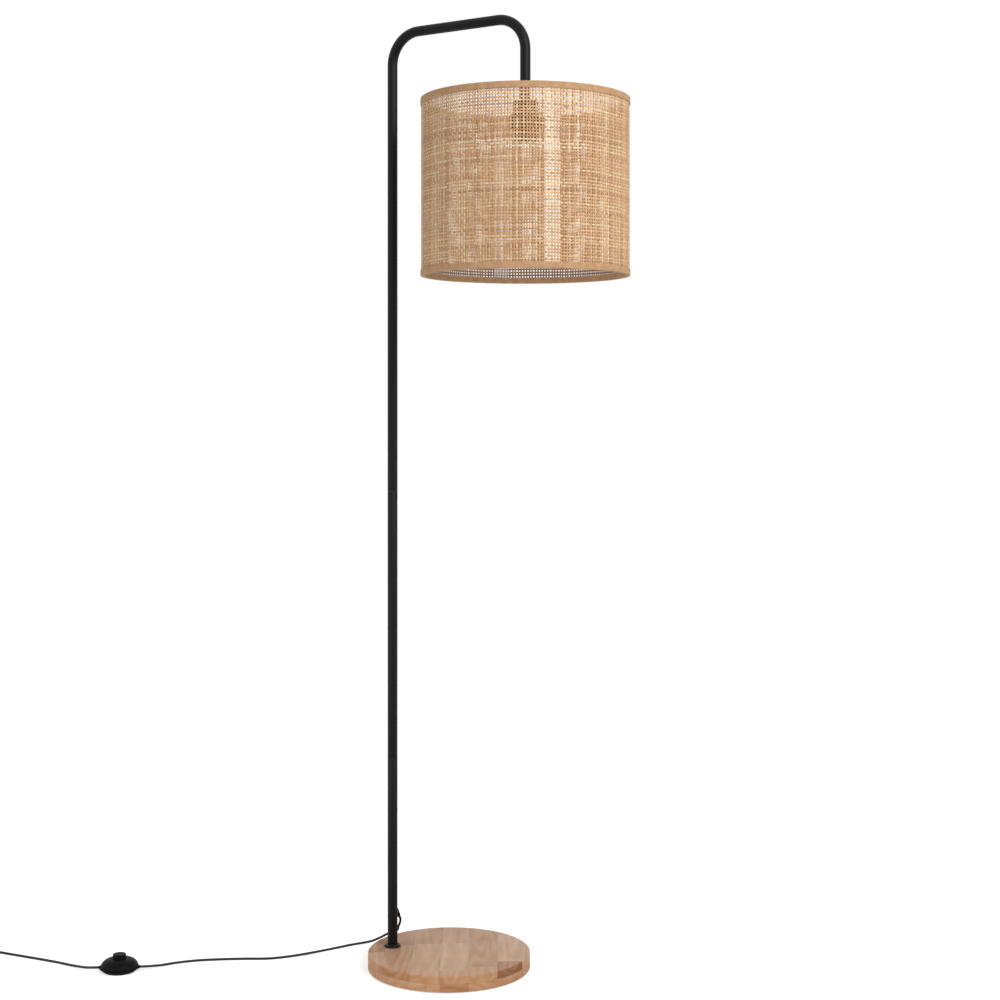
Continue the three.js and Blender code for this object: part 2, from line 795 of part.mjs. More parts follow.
// The drum shade: the woven wall, a wire hoop and a folded tape at each rim, and the spider that hangs
// it on the lampholder.
function makeShade() {
  const shade = new THREE.Group();
  const shadeBottom = shadeTop - shadeHeight;
  const trimOuter = shadeDiameter / 2;
  const wallOuter = trimOuter - trimThickness - seatGap;
  const wallInner = wallOuter - weaveThickness;
  const wireRadius = hoopWire / 2;
  const hoopRadius = wallInner - seatGap - wireRadius;
  const foldOuter = hoopRadius - wireRadius - seatGap;
  const foldInner = foldOuter - trimThickness;
  const rimInset = trimThickness + seatGap;

  // The weave has thousands of small holes, and the wall has a plain grid of wide ones in their place.
  const wall = ring(wallOuter, wallInner, shadeBottom + rimInset, shadeTop - rimInset, largeSides);
  const columnPitch = (2 * Math.PI * wallOuter) / weaveColumns;
  const rowPitch = (shadeHeight - 2 * trimWidth + weaveBar) / weaveRows;
  const holeHeight = rowPitch - weaveBar;
  const holes = [];
  for (let row = 0; row < weaveRows; row += 1) {
    const middle = shadeBottom + trimWidth + holeHeight / 2 + row * rowPitch;
    for (let column = 0; column < weaveColumns; column += 1) {
      const hole = new THREE.BoxGeometry(weaveThickness + 2 * overrun, columnPitch - weaveBar, holeHeight);
      hole.translate(wallOuter - weaveThickness / 2, 0, middle);
      holes.push(hole.rotateZ((2 * Math.PI * column) / weaveColumns));
    }
  }
  addPiece(shade, "rattan_wall", cut(wall, ...holes), "rattan");

  const hoopInset = rimInset + wireRadius;
  const hoop = (height) => new THREE.TorusGeometry(hoopRadius, wireRadius, hoopSides, largeSides).translate(0, 0, height);
  addPiece(shade, "top_hoop", hoop(shadeTop - hoopInset), "whiteWire");
  addPiece(shade, "bottom_hoop", hoop(shadeBottom + hoopInset), "whiteWire");

  // The webbing is in two lengths, and a film behind each seam joins them.
  const filmOuter = wallInner - seatGap;
  const filmInset = hoopInset + wireRadius + seatGap;
  const filmRing = ring(
    filmOuter, filmOuter - seamFilmThickness, shadeBottom + filmInset, shadeTop - filmInset, largeSides,
  );
  for (let i = 0; i < seamCount; i += 1) {
    const span = new THREE.BoxGeometry(trimOuter, seamFilmWidth, shadeHeight);
    span.translate(trimOuter / 2, 0, shadeBottom + shadeHeight / 2);
    span.rotateZ(seamTurn + (2 * Math.PI * i) / seamCount);
    addPiece(shade, `seam_film_${i + 1}`, common(filmRing, span), "whiteFilm");
  }

  // The tape lies on the wall outside, folds over the rim and comes down inside the hoop.
  const tape = [
    [foldInner, 0],
    [trimOuter, 0],
    [trimOuter, trimWidth],
    [trimOuter - trimThickness, trimWidth],
    [trimOuter - trimThickness, trimThickness],
    [foldOuter, trimThickness],
    [foldOuter, trimWidth],
    [foldInner, trimWidth],
  ];
  const bottomTape = tape.map(([r, z]) => [r, shadeBottom + z]);
  const topTape = [...tape].reverse().map(([r, z]) => [r, shadeTop - z]);
  addPiece(shade, "top_trim", turned(topTape, largeSides), "tape");
  addPiece(shade, "bottom_trim", turned(bottomTape, largeSides), "tape");

  const halfPlate = spiderPlateThickness / 2;
  const plate = ring(
    spiderPlateDiameter / 2, spiderBore / 2, spiderHeight - halfPlate, spiderHeight + halfPlate, tubeSides,
  );
  const armTop = shadeTop - hoopInset - wireRadius - seatGap;
  const arms = spiderArmTurns.map((turn) => {
    const corners = [
      [spiderArmRoot, 0, spiderHeight],
      [hoopRadius, 0, spiderHeight],
      [hoopRadius, 0, armTop],
    ];
    return drawn(roundSection(wireRadius, hoopSides), new BentRun(corners, [spiderBendRadius])).rotateZ(turn);
  });
  addPiece(shade, "spider", joined(plate, ...arms), "whiteWire");
  return shade;
}

// The foot switch in the lead, on the floor: two shells screwed together round a contact block, and a
// button on a spring. Its lead passes through along X.
function makeFootSwitch() {
  const body = new THREE.Group();
  body.position.set(...switchPlace, 0);
  body.rotation.z = switchTurn;
  const quarter = Math.PI / 2;
  const radius = switchDiameter / 2;
  const domeRadius = radius - switchLedge;
  const footRadius = switchFootDiameter / 2;
  const buttonHole = buttonDiameter / 2 + holeClearance;
  const crown = buttonFlangeDiameter / 2;
  const halfGap = seatGap / 2;
  const lowerRim = switchSplit - halfGap;
  const upperRim = switchSplit + halfGap;
  const roof = switchShoulder - switchWall;

  const sleeveHoles = [-1, 1].map((side) => {
    const hole = rod(sleeveNeckDiameter / 2 + holeClearance, sleeveInnerEnd, sleeveOuterEnd);
    return hole.rotateY(side * quarter).translate(0, 0, switchSplit);
  });
  const screwPlaces = [-1, 1].map((side) => (side * switchScrewSpacing) / 2);
  const atScrews = (make) => screwPlaces.map((y) => make().translate(0, y, 0));
  const bossRadius = switchBossDiameter / 2;
  const screwRadius = switchScrewDiameter / 2;
  const headFace = switchScrewInset;
  const headTop = headFace + switchScrewHeadHeight;

  const bowl = turned(
    [
      [0, 0],
      [footRadius, 0],
      [radius, lowerRim - switchLedge / 2],
      [radius - switchLedge / 2, lowerRim],
      [domeRadius - switchWall, lowerRim],
      [footRadius - switchWall, switchWall],
      [0, switchWall],
    ],
    largeSides / 2,
  );
  const lowerBosses = atScrews(() => rod(bossRadius, switchWall / 2, lowerRim));
  const lowerHoles = atScrews(() => rod(screwRadius + holeClearance, -overrun, lowerRim + overrun));
  const headHoles = atScrews(() =>
    rod(switchScrewHeadDiameter / 2 + holeClearance / 2, -overrun, headTop + seatGap / 2),
  );
  const lowerShell = cut(joined(bowl, ...lowerBosses), ...lowerHoles, ...headHoles, ...sleeveHoles);
  addPiece(body, "switch_lower_shell", lowerShell, "blackPlastic");

  const dome = turned(
    [
      ...arc(crown, upperRim, domeRadius - crown, switchShoulder - upperRim, 0, quarter, domeSteps),
      [buttonHole, switchShoulder],
      [buttonHole, roof],
      ...arc(crown, upperRim, domeRadius - crown - switchWall, roof - upperRim, quarter, 0, domeSteps),
    ],
    largeSides / 2,
  );
  const upperBosses = atScrews(() => rod(bossRadius, upperRim, roof - switchWall));
  const upperHoles = atScrews(() =>
    rod(screwRadius + holeClearance / 2, upperRim - overrun, headFace + switchScrewLength + seatGap),
  );
  const upperShell = cut(joined(dome, ...upperBosses), ...upperHoles, ...sleeveHoles);
  addPiece(body, "switch_upper_shell", upperShell, "blackPlastic");
  screwPlaces.forEach((y, i) => {
    const screw = upwardScrew(
      headFace, switchScrewHeadDiameter / 2, switchScrewHeadHeight, false, screwRadius, switchScrewLength, 0,
    );
    addPiece(body, `switch_screw_${i + 1}`, screw.translate(0, y, 0), "bareSteel");
  });

  const blockBottom = switchWall + seatGap;
  const blockTop = blockBottom + blockHeight;
  const rivetHeadTop = blockTop + seatGap + rivetHeadHeight;
  const rivetPlaces = [-1, 1].map((side) => (side * rivetSpacing) / 2);
  const rivetHoles = rivetPlaces.map((x) =>
    rod(rivetShankDiameter / 2 + holeClearance / 2, rivetHeadTop - rivetLength - seatGap, blockTop + overrun)
      .translate(x, 0, 0),
  );
  const block = rod(blockDiameter / 2, blockBottom, blockTop, tubeSides);
  addPiece(body, "contact_block", cut(block, ...rivetHoles), "blackPlastic");
  rivetPlaces.forEach((x, i) => {
    const rivet = upwardScrew(
      0, rivetHeadDiameter / 2, rivetHeadHeight, false, rivetShankDiameter / 2, rivetLength, 0,
    );
    addPiece(body, `fixed_contact_${i + 1}`, rivet.rotateX(Math.PI).translate(x, 0, rivetHeadTop), "brass");
  });

  const flangeTop = roof - seatGap;
  const flangeBottom = flangeTop - buttonFlangeThickness;
  const stemBottom = flangeBottom - buttonStemLength;
  const button = turned(
    [
      [0, stemBottom],
      [buttonStemDiameter / 2, stemBottom],
      [buttonStemDiameter / 2, flangeBottom],
      [crown, flangeBottom],
      [crown, flangeTop],
      [buttonDiameter / 2, flangeTop],
      ...arc(buttonDiameter / 2 - buttonEdge, buttonTop - buttonEdge, buttonEdge, buttonEdge, 0, quarter, edgeSteps),
      [0, buttonTop],
    ],
    tubeSides,
  );
  addPiece(body, "switch_button", button, "blackPlastic");
  const bridge = new THREE.BoxGeometry(bridgeLength, bridgeWidth, bridgeThickness);
  bridge.translate(0, 0, stemBottom - seatGap - bridgeThickness / 2);
  addPiece(body, "contact_bridge", bridge, "brass");

  const wire = springWire / 2;
  const springBottom = blockTop + seatGap + wire;
  const springTop = flangeBottom - seatGap - wire;
  const springPoints = Array.from({ length: springCurls * springSteps + 1 }, (_, i) => {
    const turn = (2 * Math.PI * i) / springSteps;
    const height = springBottom + ((springTop - springBottom) * i) / (springCurls * springSteps);
    const across = springDiameter / 2;
    return new THREE.Vector3(across * Math.cos(turn), across * Math.sin(turn), height);
  });
  addPiece(body, "button_spring", woundTube(springPoints, wire, springSides), "bareSteel");

  const sleeve = () =>
    turned(
      [
        [leadBore, sleeveInnerEnd],
        [sleeveStopDiameter / 2, sleeveInnerEnd],
        [sleeveStopDiameter / 2, sleeveStop],
        [sleeveNeckDiameter / 2, sleeveStop],
        [sleeveNeckDiameter / 2, sleeveOuterEnd - sleeveRim],
        [sleeveNeckDiameter / 2 - sleeveRim, sleeveOuterEnd],
        [leadBore, sleeveOuterEnd],
      ],
      smallSides,
    );
  const leadEnd = () => rod(cordRadius, blockDiameter / 2 + seatGap, sleeveOuterEnd, cordSides);
  const sides = { lamp_side: 1, plug_side: -1 };
  for (const [name, side] of Object.entries(sides)) {
    const place = (geometry) => geometry.rotateY(side * quarter).translate(0, 0, switchSplit);
    addPiece(body, `switch_sleeve_${name}`, place(sleeve()), "blackPlastic");
    addPiece(body, `switch_lead_${name}`, place(leadEnd()), "cord");
  }
  return body;
}

// A place in the foot switch's own line, beyond the mouth of one of its sleeves.
function beyondSwitch(side, distance) {
  const along = side * (sleeveOuterEnd + distance);
  const x = switchPlace[0] + along * Math.cos(switchTurn);
  const y = switchPlace[1] + along * Math.sin(switchTurn);
  return new THREE.Vector3(x, y, switchSplit);
}

// A free stretch of the lead through its points.
function freeLead(points) {
  const curve = new THREE.CatmullRomCurve3(points, false, "centripetal");
  const steps = Math.round(curve.getLength() / cordStep);
  const section = roundSection(cordRadius, cordSides);
  return new THREE.ExtrudeGeometry(section, { extrudePath: curve, steps });
}

// Where the coil's first turn starts, and how its levels and radii lie.
const heading = new THREE.Vector3(Math.cos(coilHeading), Math.sin(coilHeading), 0);
const coilOuterRadius = coilInnerRadius + (coilPitch * coilTurns) / 2;
const coilLevel = tieThickness + seatGap + cordRadius;
const coilEntry = new THREE.Vector3(...coilApproach, coilLevel);
const coilCentre = new THREE.Vector3(
  coilEntry.x - coilOuterRadius * heading.y, coilEntry.y + coilOuterRadius * heading.x, 0,
);

// The spare lead, wound in to the middle, up a layer and out again, with a straight start and tail.
function coilPoints() {
  const half = coilTurns / 2;
  const start = coilHeading - Math.PI / 2;
  const points = [coilEntry.clone().addScaledVector(heading, -cordDiameter)];
  for (let i = 0; i <= coilTurns * coilSteps; i += 1) {
    const turn = i / coilSteps;
    const radius = coilInnerRadius + coilPitch * Math.abs(half - turn);
    const climb = THREE.MathUtils.smoothstep(turn, half - 1 / 4, half + 1 / 4);
    const angle = start + 2 * Math.PI * turn;
    const x = coilCentre.x + radius * Math.cos(angle);
    const y = coilCentre.y + radius * Math.sin(angle);
    points.push(new THREE.Vector3(x, y, coilLevel + coilPitch * climb));
  }
  const tailLevel = plugBodyHeight / 2;
  const end = points[points.length - 1];
  const lower = end.clone().addScaledVector(heading, coilTail - cordDiameter).setZ(tailLevel);
  points.push(lower, lower.clone().addScaledVector(heading, cordDiameter));
  return points;
}

// The free lead, the coil and the tie round it.
function makeLead() {
  const lead = new THREE.Group();
  const asPoints = (route) => route.map((place) => new THREE.Vector3(...place));
  const pole = new THREE.Vector3(poleX, poleY, 0);
  const straight = [seatGap, seatGap + cordDiameter];
  const fromBushing = straight.map((distance) => leadExitPoint(bushingReach + distance).add(pole));
  const intoSwitch = straight.map((distance) => beyondSwitch(1, distance)).reverse();
  const toSwitch = [...fromBushing, ...asPoints(routeToSwitch), ...intoSwitch];
  addPiece(lead, "cord_pole_to_switch", freeLead(toSwitch), "cord");
  const fromSwitch = straight.map((distance) => beyondSwitch(-1, distance));
  const intoCoil = straight.map((distance) => coilEntry.clone().addScaledVector(heading, -cordDiameter - distance));
  const toCoil = [...fromSwitch, ...asPoints(routeToCoil), ...intoCoil.reverse()];
  addPiece(lead, "cord_switch_to_coil", freeLead(toCoil), "cord");

  const coil = woundTube(coilPoints(), cordRadius, coilSides);
  addPiece(lead, "cord_coil", coil, "cord");
  console.log("least gap between the coil's turns, mm:", leastGap(coil, coilSides, coilSteps).toFixed(2));

  const inner = coilInnerRadius - cordRadius - tieSlack;
  const outer = coilOuterRadius + cordRadius + tieSlack;
  const top = coilLevel + coilPitch + cordRadius + tieSlack;
  const loop = (near, far, low, high) => [
    new THREE.Vector2(near, low),
    new THREE.Vector2(far, low),
    new THREE.Vector2(far, high),
    new THREE.Vector2(near, high),
  ];
  const section = new THREE.Shape(loop(inner - tieThickness, outer + tieThickness, 0, top + tieThickness));
  section.holes.push(new THREE.Path(loop(inner, outer, tieThickness, top)));
  const tie = new THREE.ExtrudeGeometry(section, { depth: tieWidth, bevelEnabled: false });
  tie.rotateX(Math.PI / 2).translate(0, tieWidth / 2, 0);
  tie.rotateZ(coilHeading).translate(coilCentre.x, coilCentre.y, 0);
  addPiece(lead, "coil_tie", tie, "blackPlastic");
  return lead;
}

// The plug at the lead's end, lying on the floor beside the coil. Its own X runs from the lead to the
// pins.
function makePlug() {
  const plug = new THREE.Group();
  const points = coilPoints();
  const place = points[points.length - 1].clone().addScaledVector(heading, seatGap);
  plug.position.copy(place);
  plug.rotation.z = coilHeading;
  const alongX = (geometry) => geometry.rotateY(Math.PI / 2);
  const bodyStart = plugSleeveLength;
  const bodyEnd = plugSleeveLength + plugBodyLength;
  const sleeve = turned(
    [
      [0, 0],
      [plugSleeveTip / 2, 0],
      [plugSleeveRoot / 2, plugSleeveLength],
      [plugSleeveRoot / 2, plugSleeveLength + plugBodyBevel * 2],
      [0, plugSleeveLength + plugBodyBevel * 2],
    ],
    smallSides,
  );
  const bevel = plugBodyBevel;
  const wide = plugBodyWidth / 2 - bevel;
  const narrowShare = 0.5;
  const shoulderShare = 0.4;
  const shoulder = bodyStart + plugBodyLength * shoulderShare;
  const half = [
    [bodyStart + bevel, wide * narrowShare],
    [shoulder, wide],
    [bodyEnd - bevel, wide],
  ];
  const mirror = [...half].reverse().map(([x, y]) => [x, -y]);
  const outline = new THREE.Shape([...half, ...mirror].map(([x, y]) => new THREE.Vector2(x, y)));
  const body = new THREE.ExtrudeGeometry(outline, {
    depth: plugBodyHeight - 2 * bevel,
    bevelSize: bevel,
    bevelThickness: bevel,
    bevelSegments: 2,
  }).translate(0, 0, bevel - plugBodyHeight / 2);
  const pinRadius = plugPinDiameter / 2;
  const pinStart = bodyEnd - plugPinDepth;
  const pinHoles = [-1, 1].map((side) =>
    alongX(rod(pinRadius + holeClearance, pinStart - seatGap, bodyEnd + overrun)).translate(
      0, (side * plugPinSpacing) / 2, 0,
    ),
  );
  addPiece(plug, "plug_body", cut(joined(body, alongX(sleeve)), ...pinHoles), "blackPlastic");
  [-1, 1].forEach((side, i) => {
    const pinEnd = bodyEnd + plugPinReach;
    const pin = turned(
      [
        [0, pinStart],
        [pinRadius, pinStart],
        [pinRadius, pinEnd - plugPinTip],
        [pinRadius - plugPinTip, pinEnd],
        [0, pinEnd],
      ],
      smallSides,
    );
    addPiece(plug, `plug_pin_${i + 1}`, alongX(pin).translate(0, (side * plugPinSpacing) / 2, 0), "brass");
  });
  return plug;
}

// The whole lamp: everything on the pole stands on its axis, and the head hangs at the arm's end.
function makeLamp() {
  const lamp = new THREE.Group();
  const pole = new THREE.Group();
  const head = new THREE.Group();
  pole.position.set(poleX, poleY, 0);
  head.position.set(armReach, 0, 0);
  head.add(makeLampholder(), makeShade());
  pole.add(makePoleFoot(), makeTube(), head);
  addPiece(pole, "lead_bushing", makeLeadBushing(), "blackPlastic");
  addPiece(pole, "inner_lead", makeInnerLead(), "cord");
  lamp.add(makeBase(), pole, makeFootSwitch(), makeLead(), makePlug());
  return lamp;
}

const lamp = makeLamp();

export default lamp;
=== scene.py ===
"""A rattan floor lamp: its surfaces, its studio and its camera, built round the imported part.

Lengths are metres and +Z is up. The origin is the centre of the base's underside, on the floor, and +X
points from the pole towards the shade. The lamp has a round two-layer wooden base, a black steel tube in
three lengths, a screw-in lampholder, a woven rattan drum shade, and a mains lead with a foot switch, a coil
and a plug.
"""

import logging
import math
from dataclasses import dataclass
from enum import Enum
from typing import Callable, Sequence

import bmesh
import bpy
import numpy as np
from bmesh.types import BMEdge, BMVert
from bpy.types import Material, Node, NodeSocket, NodeTree, Object
from mathutils import Matrix, Vector


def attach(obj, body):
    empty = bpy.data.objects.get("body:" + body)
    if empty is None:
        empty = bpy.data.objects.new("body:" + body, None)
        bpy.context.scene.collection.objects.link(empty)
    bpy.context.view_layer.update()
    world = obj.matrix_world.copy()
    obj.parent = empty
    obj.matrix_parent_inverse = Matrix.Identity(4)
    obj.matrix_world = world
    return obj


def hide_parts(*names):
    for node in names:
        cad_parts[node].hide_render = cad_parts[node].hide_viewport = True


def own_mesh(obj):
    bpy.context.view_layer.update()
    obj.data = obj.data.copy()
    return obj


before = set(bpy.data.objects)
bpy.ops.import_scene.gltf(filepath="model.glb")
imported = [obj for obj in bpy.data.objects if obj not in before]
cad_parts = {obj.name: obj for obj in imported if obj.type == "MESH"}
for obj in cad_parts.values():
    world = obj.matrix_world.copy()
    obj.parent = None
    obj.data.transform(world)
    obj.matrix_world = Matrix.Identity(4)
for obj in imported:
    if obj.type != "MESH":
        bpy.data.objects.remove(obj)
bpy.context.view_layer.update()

LOG = logging.getLogger("rattan_floor_lamp")
MM = 0.001
SEAT_GAP = 0.3 * MM
# The pole stands this many millimetres from the base's centre, and the arm reaches this many from the pole.
POLE_OFFSET = 94
ARM_REACH = 250
POLE_TURN = math.radians(19)
POLE = Vector((-POLE_OFFSET * math.cos(POLE_TURN), -POLE_OFFSET * math.sin(POLE_TURN), 0)) * MM
SHADE_AXIS = POLE + Vector((ARM_REACH, 0, 0)) * MM
LEAD_RADIUS = 2 * MM
LEAD_ROOM = 0.1 * MM
ROUTE_SPACING = 3 * MM
FULL_TURN = 2 * math.pi
WHITE = (1.0, 1.0, 1.0, 1.0)
SEED = 7

Point = tuple[float, float, float]
Profile = Sequence[tuple[float, float]]


class Body(Enum):
    """The rigid bodies that pieces ride on."""

    STAND = "stand"
    SHADE = "shade"
    BUTTON = "foot_button"


class Slot(Enum):
    """The record's material slots."""

    WOOD = "birch_board"
    BLACK_STEEL = "black_steel"
    PLAIN_STEEL = "plain_steel"
    BRASS = "contact_brass"
    WHITE_WIRE = "white_wire"
    MOULDING = "black_moulding"
    CERAMIC = "holder_insulator"
    RATTAN = "rattan_weave"
    FILM = "seam_film"
    TAPE = "rim_tape"
    FELT = "base_felt"
    CORD = "black_cord"


def linear(hex_code: str) -> tuple[float, float, float, float]:
    """Turns an sRGB hex colour into linear RGBA.

    Args:
        hex_code: Six hex digits.

    Returns:
        Linear red, green, blue and an alpha of 1.
    """
    channels = [int(hex_code[i : i + 2], 16) / 255 for i in (0, 2, 4)]
    values = [c / 12.92 if c <= 0.04045 else ((c + 0.055) / 1.055) ** 2.4 for c in channels]
    return (values[0], values[1], values[2], 1.0)


def add_node(tree: NodeTree, kind: str, settings: dict | None = None, inputs: dict | None = None) -> Node:
    """Adds a node to a tree with its settings and links.

    Args:
        tree: The node tree.
        kind: The node's type name, less the ShaderNode that all begin with.
        settings: Attributes to set; "stops" fills a colour ramp with (position, hex colour) pairs.
        inputs: Socket values by name or index. A socket as value makes a link, and so does a node, from
            its first output.

    Returns:
        The new node.
    """
    node = tree.nodes.new(f"ShaderNode{kind}")
    for key, value in (settings or {}).items():
        if key == "stops":
            ramp = node.color_ramp.elements
            while len(ramp) < len(value):
                ramp.new(1.0)
            for element, (position, colour) in zip(ramp, value):
                element.position = position
                element.color = linear(colour)
        else:
            setattr(node, key, value)
    for key, value in (inputs or {}).items():
        if isinstance(value, Node):
            value = value.outputs[0]
        if isinstance(value, NodeSocket):
            tree.links.new(value, node.inputs[key])
        else:
            node.inputs[key].default_value = value
    return node


@dataclass(frozen=True)
class Finish:
    """A finish that becomes one material. Subclasses paint more onto the shader."""

    name: str
    colour: str
    slot: Slot
    roughness: float = 0.5
    metallic: float = 0.0
    ior: float = 1.5
    specular: float = 0.5

    def material(self) -> Material:
        """The finish's material, made the first time it is asked for."""
        found = bpy.data.materials.get(self.name)
        if found:
            return found
        material = bpy.data.materials.new(self.name)
        material.use_nodes = True
        tree = material.node_tree
        tree.nodes.clear()
        shader = add_node(
            tree, "BsdfPrincipled",
            inputs={
                "Base Color": linear(self.colour), "Roughness": self.roughness, "Metallic": self.metallic,
                "IOR": self.ior, "Specular IOR Level": self.specular,
            },
        )
        add_node(tree, "OutputMaterial", inputs={"Surface": shader.outputs["BSDF"]})
        self.paint(tree, shader)
        return material

    def paint(self, tree: NodeTree, shader: Node) -> None:
        """Adds the finish's own detail; the plain finish has none."""


@dataclass(frozen=True)
class GrainedFinish(Finish):
    """A surface with a fine even grain, as moulding, spraying, plating or glazing leaves it.

    The grain gives small bumps and a slight change of roughness, and a second, wider noise shifts the colour
    between the finish's own colour and a worn one, over the range of its values that edges gives.
    """

    worn: str = "000000"
    grain: float = 0.6 * MM
    bump: float = 0.1
    change: float = 0.07
    patch: float = 30 * MM
    edges: tuple[float, float] = (0.35, 0.75)

    def paint(self, tree: NodeTree, shader: Node) -> None:
        """Adds the grain's bump, roughness and colour.

        Args:
            tree: The material's node tree.
            shader: Its shader node.
        """
        place = add_node(tree, "TexCoord").outputs["Object"]
        grain = add_node(
            tree, "TexNoise",
            inputs={"Vector": place, "Scale": 1 / self.grain, "Detail": 2.0, "Roughness": 0.6},
        )
        patches = add_node(
            tree, "TexNoise", inputs={"Vector": place, "Scale": 1 / self.patch, "Detail": 3.0},
        )
        colour = add_node(
            tree, "ValToRGB", {"stops": list(zip(self.edges, (self.colour, self.worn)))},
            {"Fac": patches.outputs["Fac"]},
        )
        rough = add_node(
            tree, "MapRange",
            inputs={
                "Value": grain.outputs["Fac"], "To Min": max(self.roughness - self.change, 0.02),
                "To Max": min(self.roughness + self.change, 1.0),
            },
        )
        bump = add_node(
            tree, "Bump",
            inputs={"Strength": self.bump, "Distance": self.grain / 2, "Height": grain.outputs["Fac"]},
        )
        tree.links.new(colour.outputs["Color"], shader.inputs["Base Color"])
        tree.links.new(rough.outputs["Result"], shader.inputs["Roughness"])
        tree.links.new(bump.outputs["Normal"], shader.inputs["Normal"])


@dataclass(frozen=True)
class CaneFinish(Finish):
    """Split rattan cane, peeled and woven flat: each strand has its own tone, from cream to brown.

    The strands carry three attributes: tone, a random number for the strand, along, the length along it, and
    inward, which is 1 on the strand's inner side, which is browner and duller than the skin: partly the split
    side's own colour and partly painted shade for the drum's shaded inside.
    Strands are spliced from shorter lengths, so the tone changes again where one length follows another.
    The shares say how much the strand, its length and its streaks count, and middle centres their sum.
    """

    stops: tuple[tuple[float, str], ...] = (
        (0.0, "B0825A"), (0.25, "CB9B6E"), (0.5, "E5B78A"), (0.75, "F8D8AC"), (1.0, "FFF2D4"),
    )
    pith_and_painted_shade: str = "A3836D"
    pith_and_shade_share: float = 0.7
    splice: float = 150 * MM
    streak: float = 15 * MM
    fibre: float = 0.5 * MM
    fibre_height: float = 0.15 * MM
    fibre_bump: float = 0.25
    strand_share: float = 0.6
    splice_share: float = 0.42
    streak_share: float = 0.72
    middle: float = 0.37
    strand_spread: float = 997.0

    def paint(self, tree: NodeTree, shader: Node) -> None:
        """Colours each strand by its tone, its spliced lengths and streaks along it.

        Args:
            tree: The material's node tree.
            shader: Its shader node.
        """
        tone = add_node(tree, "Attribute", {"attribute_name": "tone"}).outputs["Fac"]
        along = add_node(tree, "Attribute", {"attribute_name": "along"}).outputs["Fac"]
        own = add_node(tree, "Math", {"operation": "MULTIPLY"}, {0: tone, 1: self.strand_spread})
        run = add_node(
            tree, "Math", {"operation": "MULTIPLY_ADD"}, {0: along, 1: 1 / self.splice, 2: own},
        )
        number = add_node(tree, "Math", {"operation": "FLOOR"}, {0: run})
        cell = add_node(tree, "CombineXYZ", inputs={"X": number, "Y": own})
        length = add_node(tree, "TexWhiteNoise", inputs={"Vector": cell})
        step = add_node(tree, "Math", {"operation": "MULTIPLY"}, {0: along, 1: 1 / self.streak})
        place = add_node(tree, "CombineXYZ", inputs={"X": own, "Y": step})
        streaks = add_node(
            tree, "TexNoise", inputs={"Vector": place, "Scale": 1.0, "Detail": 2.0, "Roughness": 0.6},
        )
        level = 0.0
        for source, share in (
            (tone, self.strand_share),
            (length.outputs["Value"], self.splice_share),
            (streaks.outputs["Fac"], self.streak_share),
        ):
            level = add_node(
                tree, "Math", {"operation": "MULTIPLY_ADD"}, {0: source, 1: share, 2: level},
            ).outputs[0]
        centred = add_node(tree, "Math", {"operation": "SUBTRACT"}, {0: level, 1: self.middle})
        colour = add_node(tree, "ValToRGB", {"stops": self.stops}, {"Fac": centred})
        # The inner side is browner: partly the split side's own colour and partly painted shade for the
        # shaded inside.
        inward = add_node(tree, "Attribute", {"attribute_name": "inward"}).outputs["Fac"]
        share = add_node(tree, "Math", {"operation": "MULTIPLY"}, {0: inward, 1: self.pith_and_shade_share})
        sides = add_node(
            tree, "Mix", {"data_type": "RGBA"},
            {0: share, 6: colour.outputs["Color"], 7: linear(self.pith_and_painted_shade)},
        )
        spot = add_node(tree, "TexCoord").outputs["Object"]
        fibres = add_node(
            tree, "TexNoise", inputs={"Vector": spot, "Scale": 1 / self.fibre, "Detail": 2.0},
        )
        bump = add_node(
            tree, "Bump",
            inputs={
                "Strength": self.fibre_bump, "Distance": self.fibre_height,
                "Height": fibres.outputs["Fac"],
            },
        )
        tree.links.new(sides.outputs[2], shader.inputs["Base Color"])
        tree.links.new(bump.outputs["Normal"], shader.inputs["Normal"])


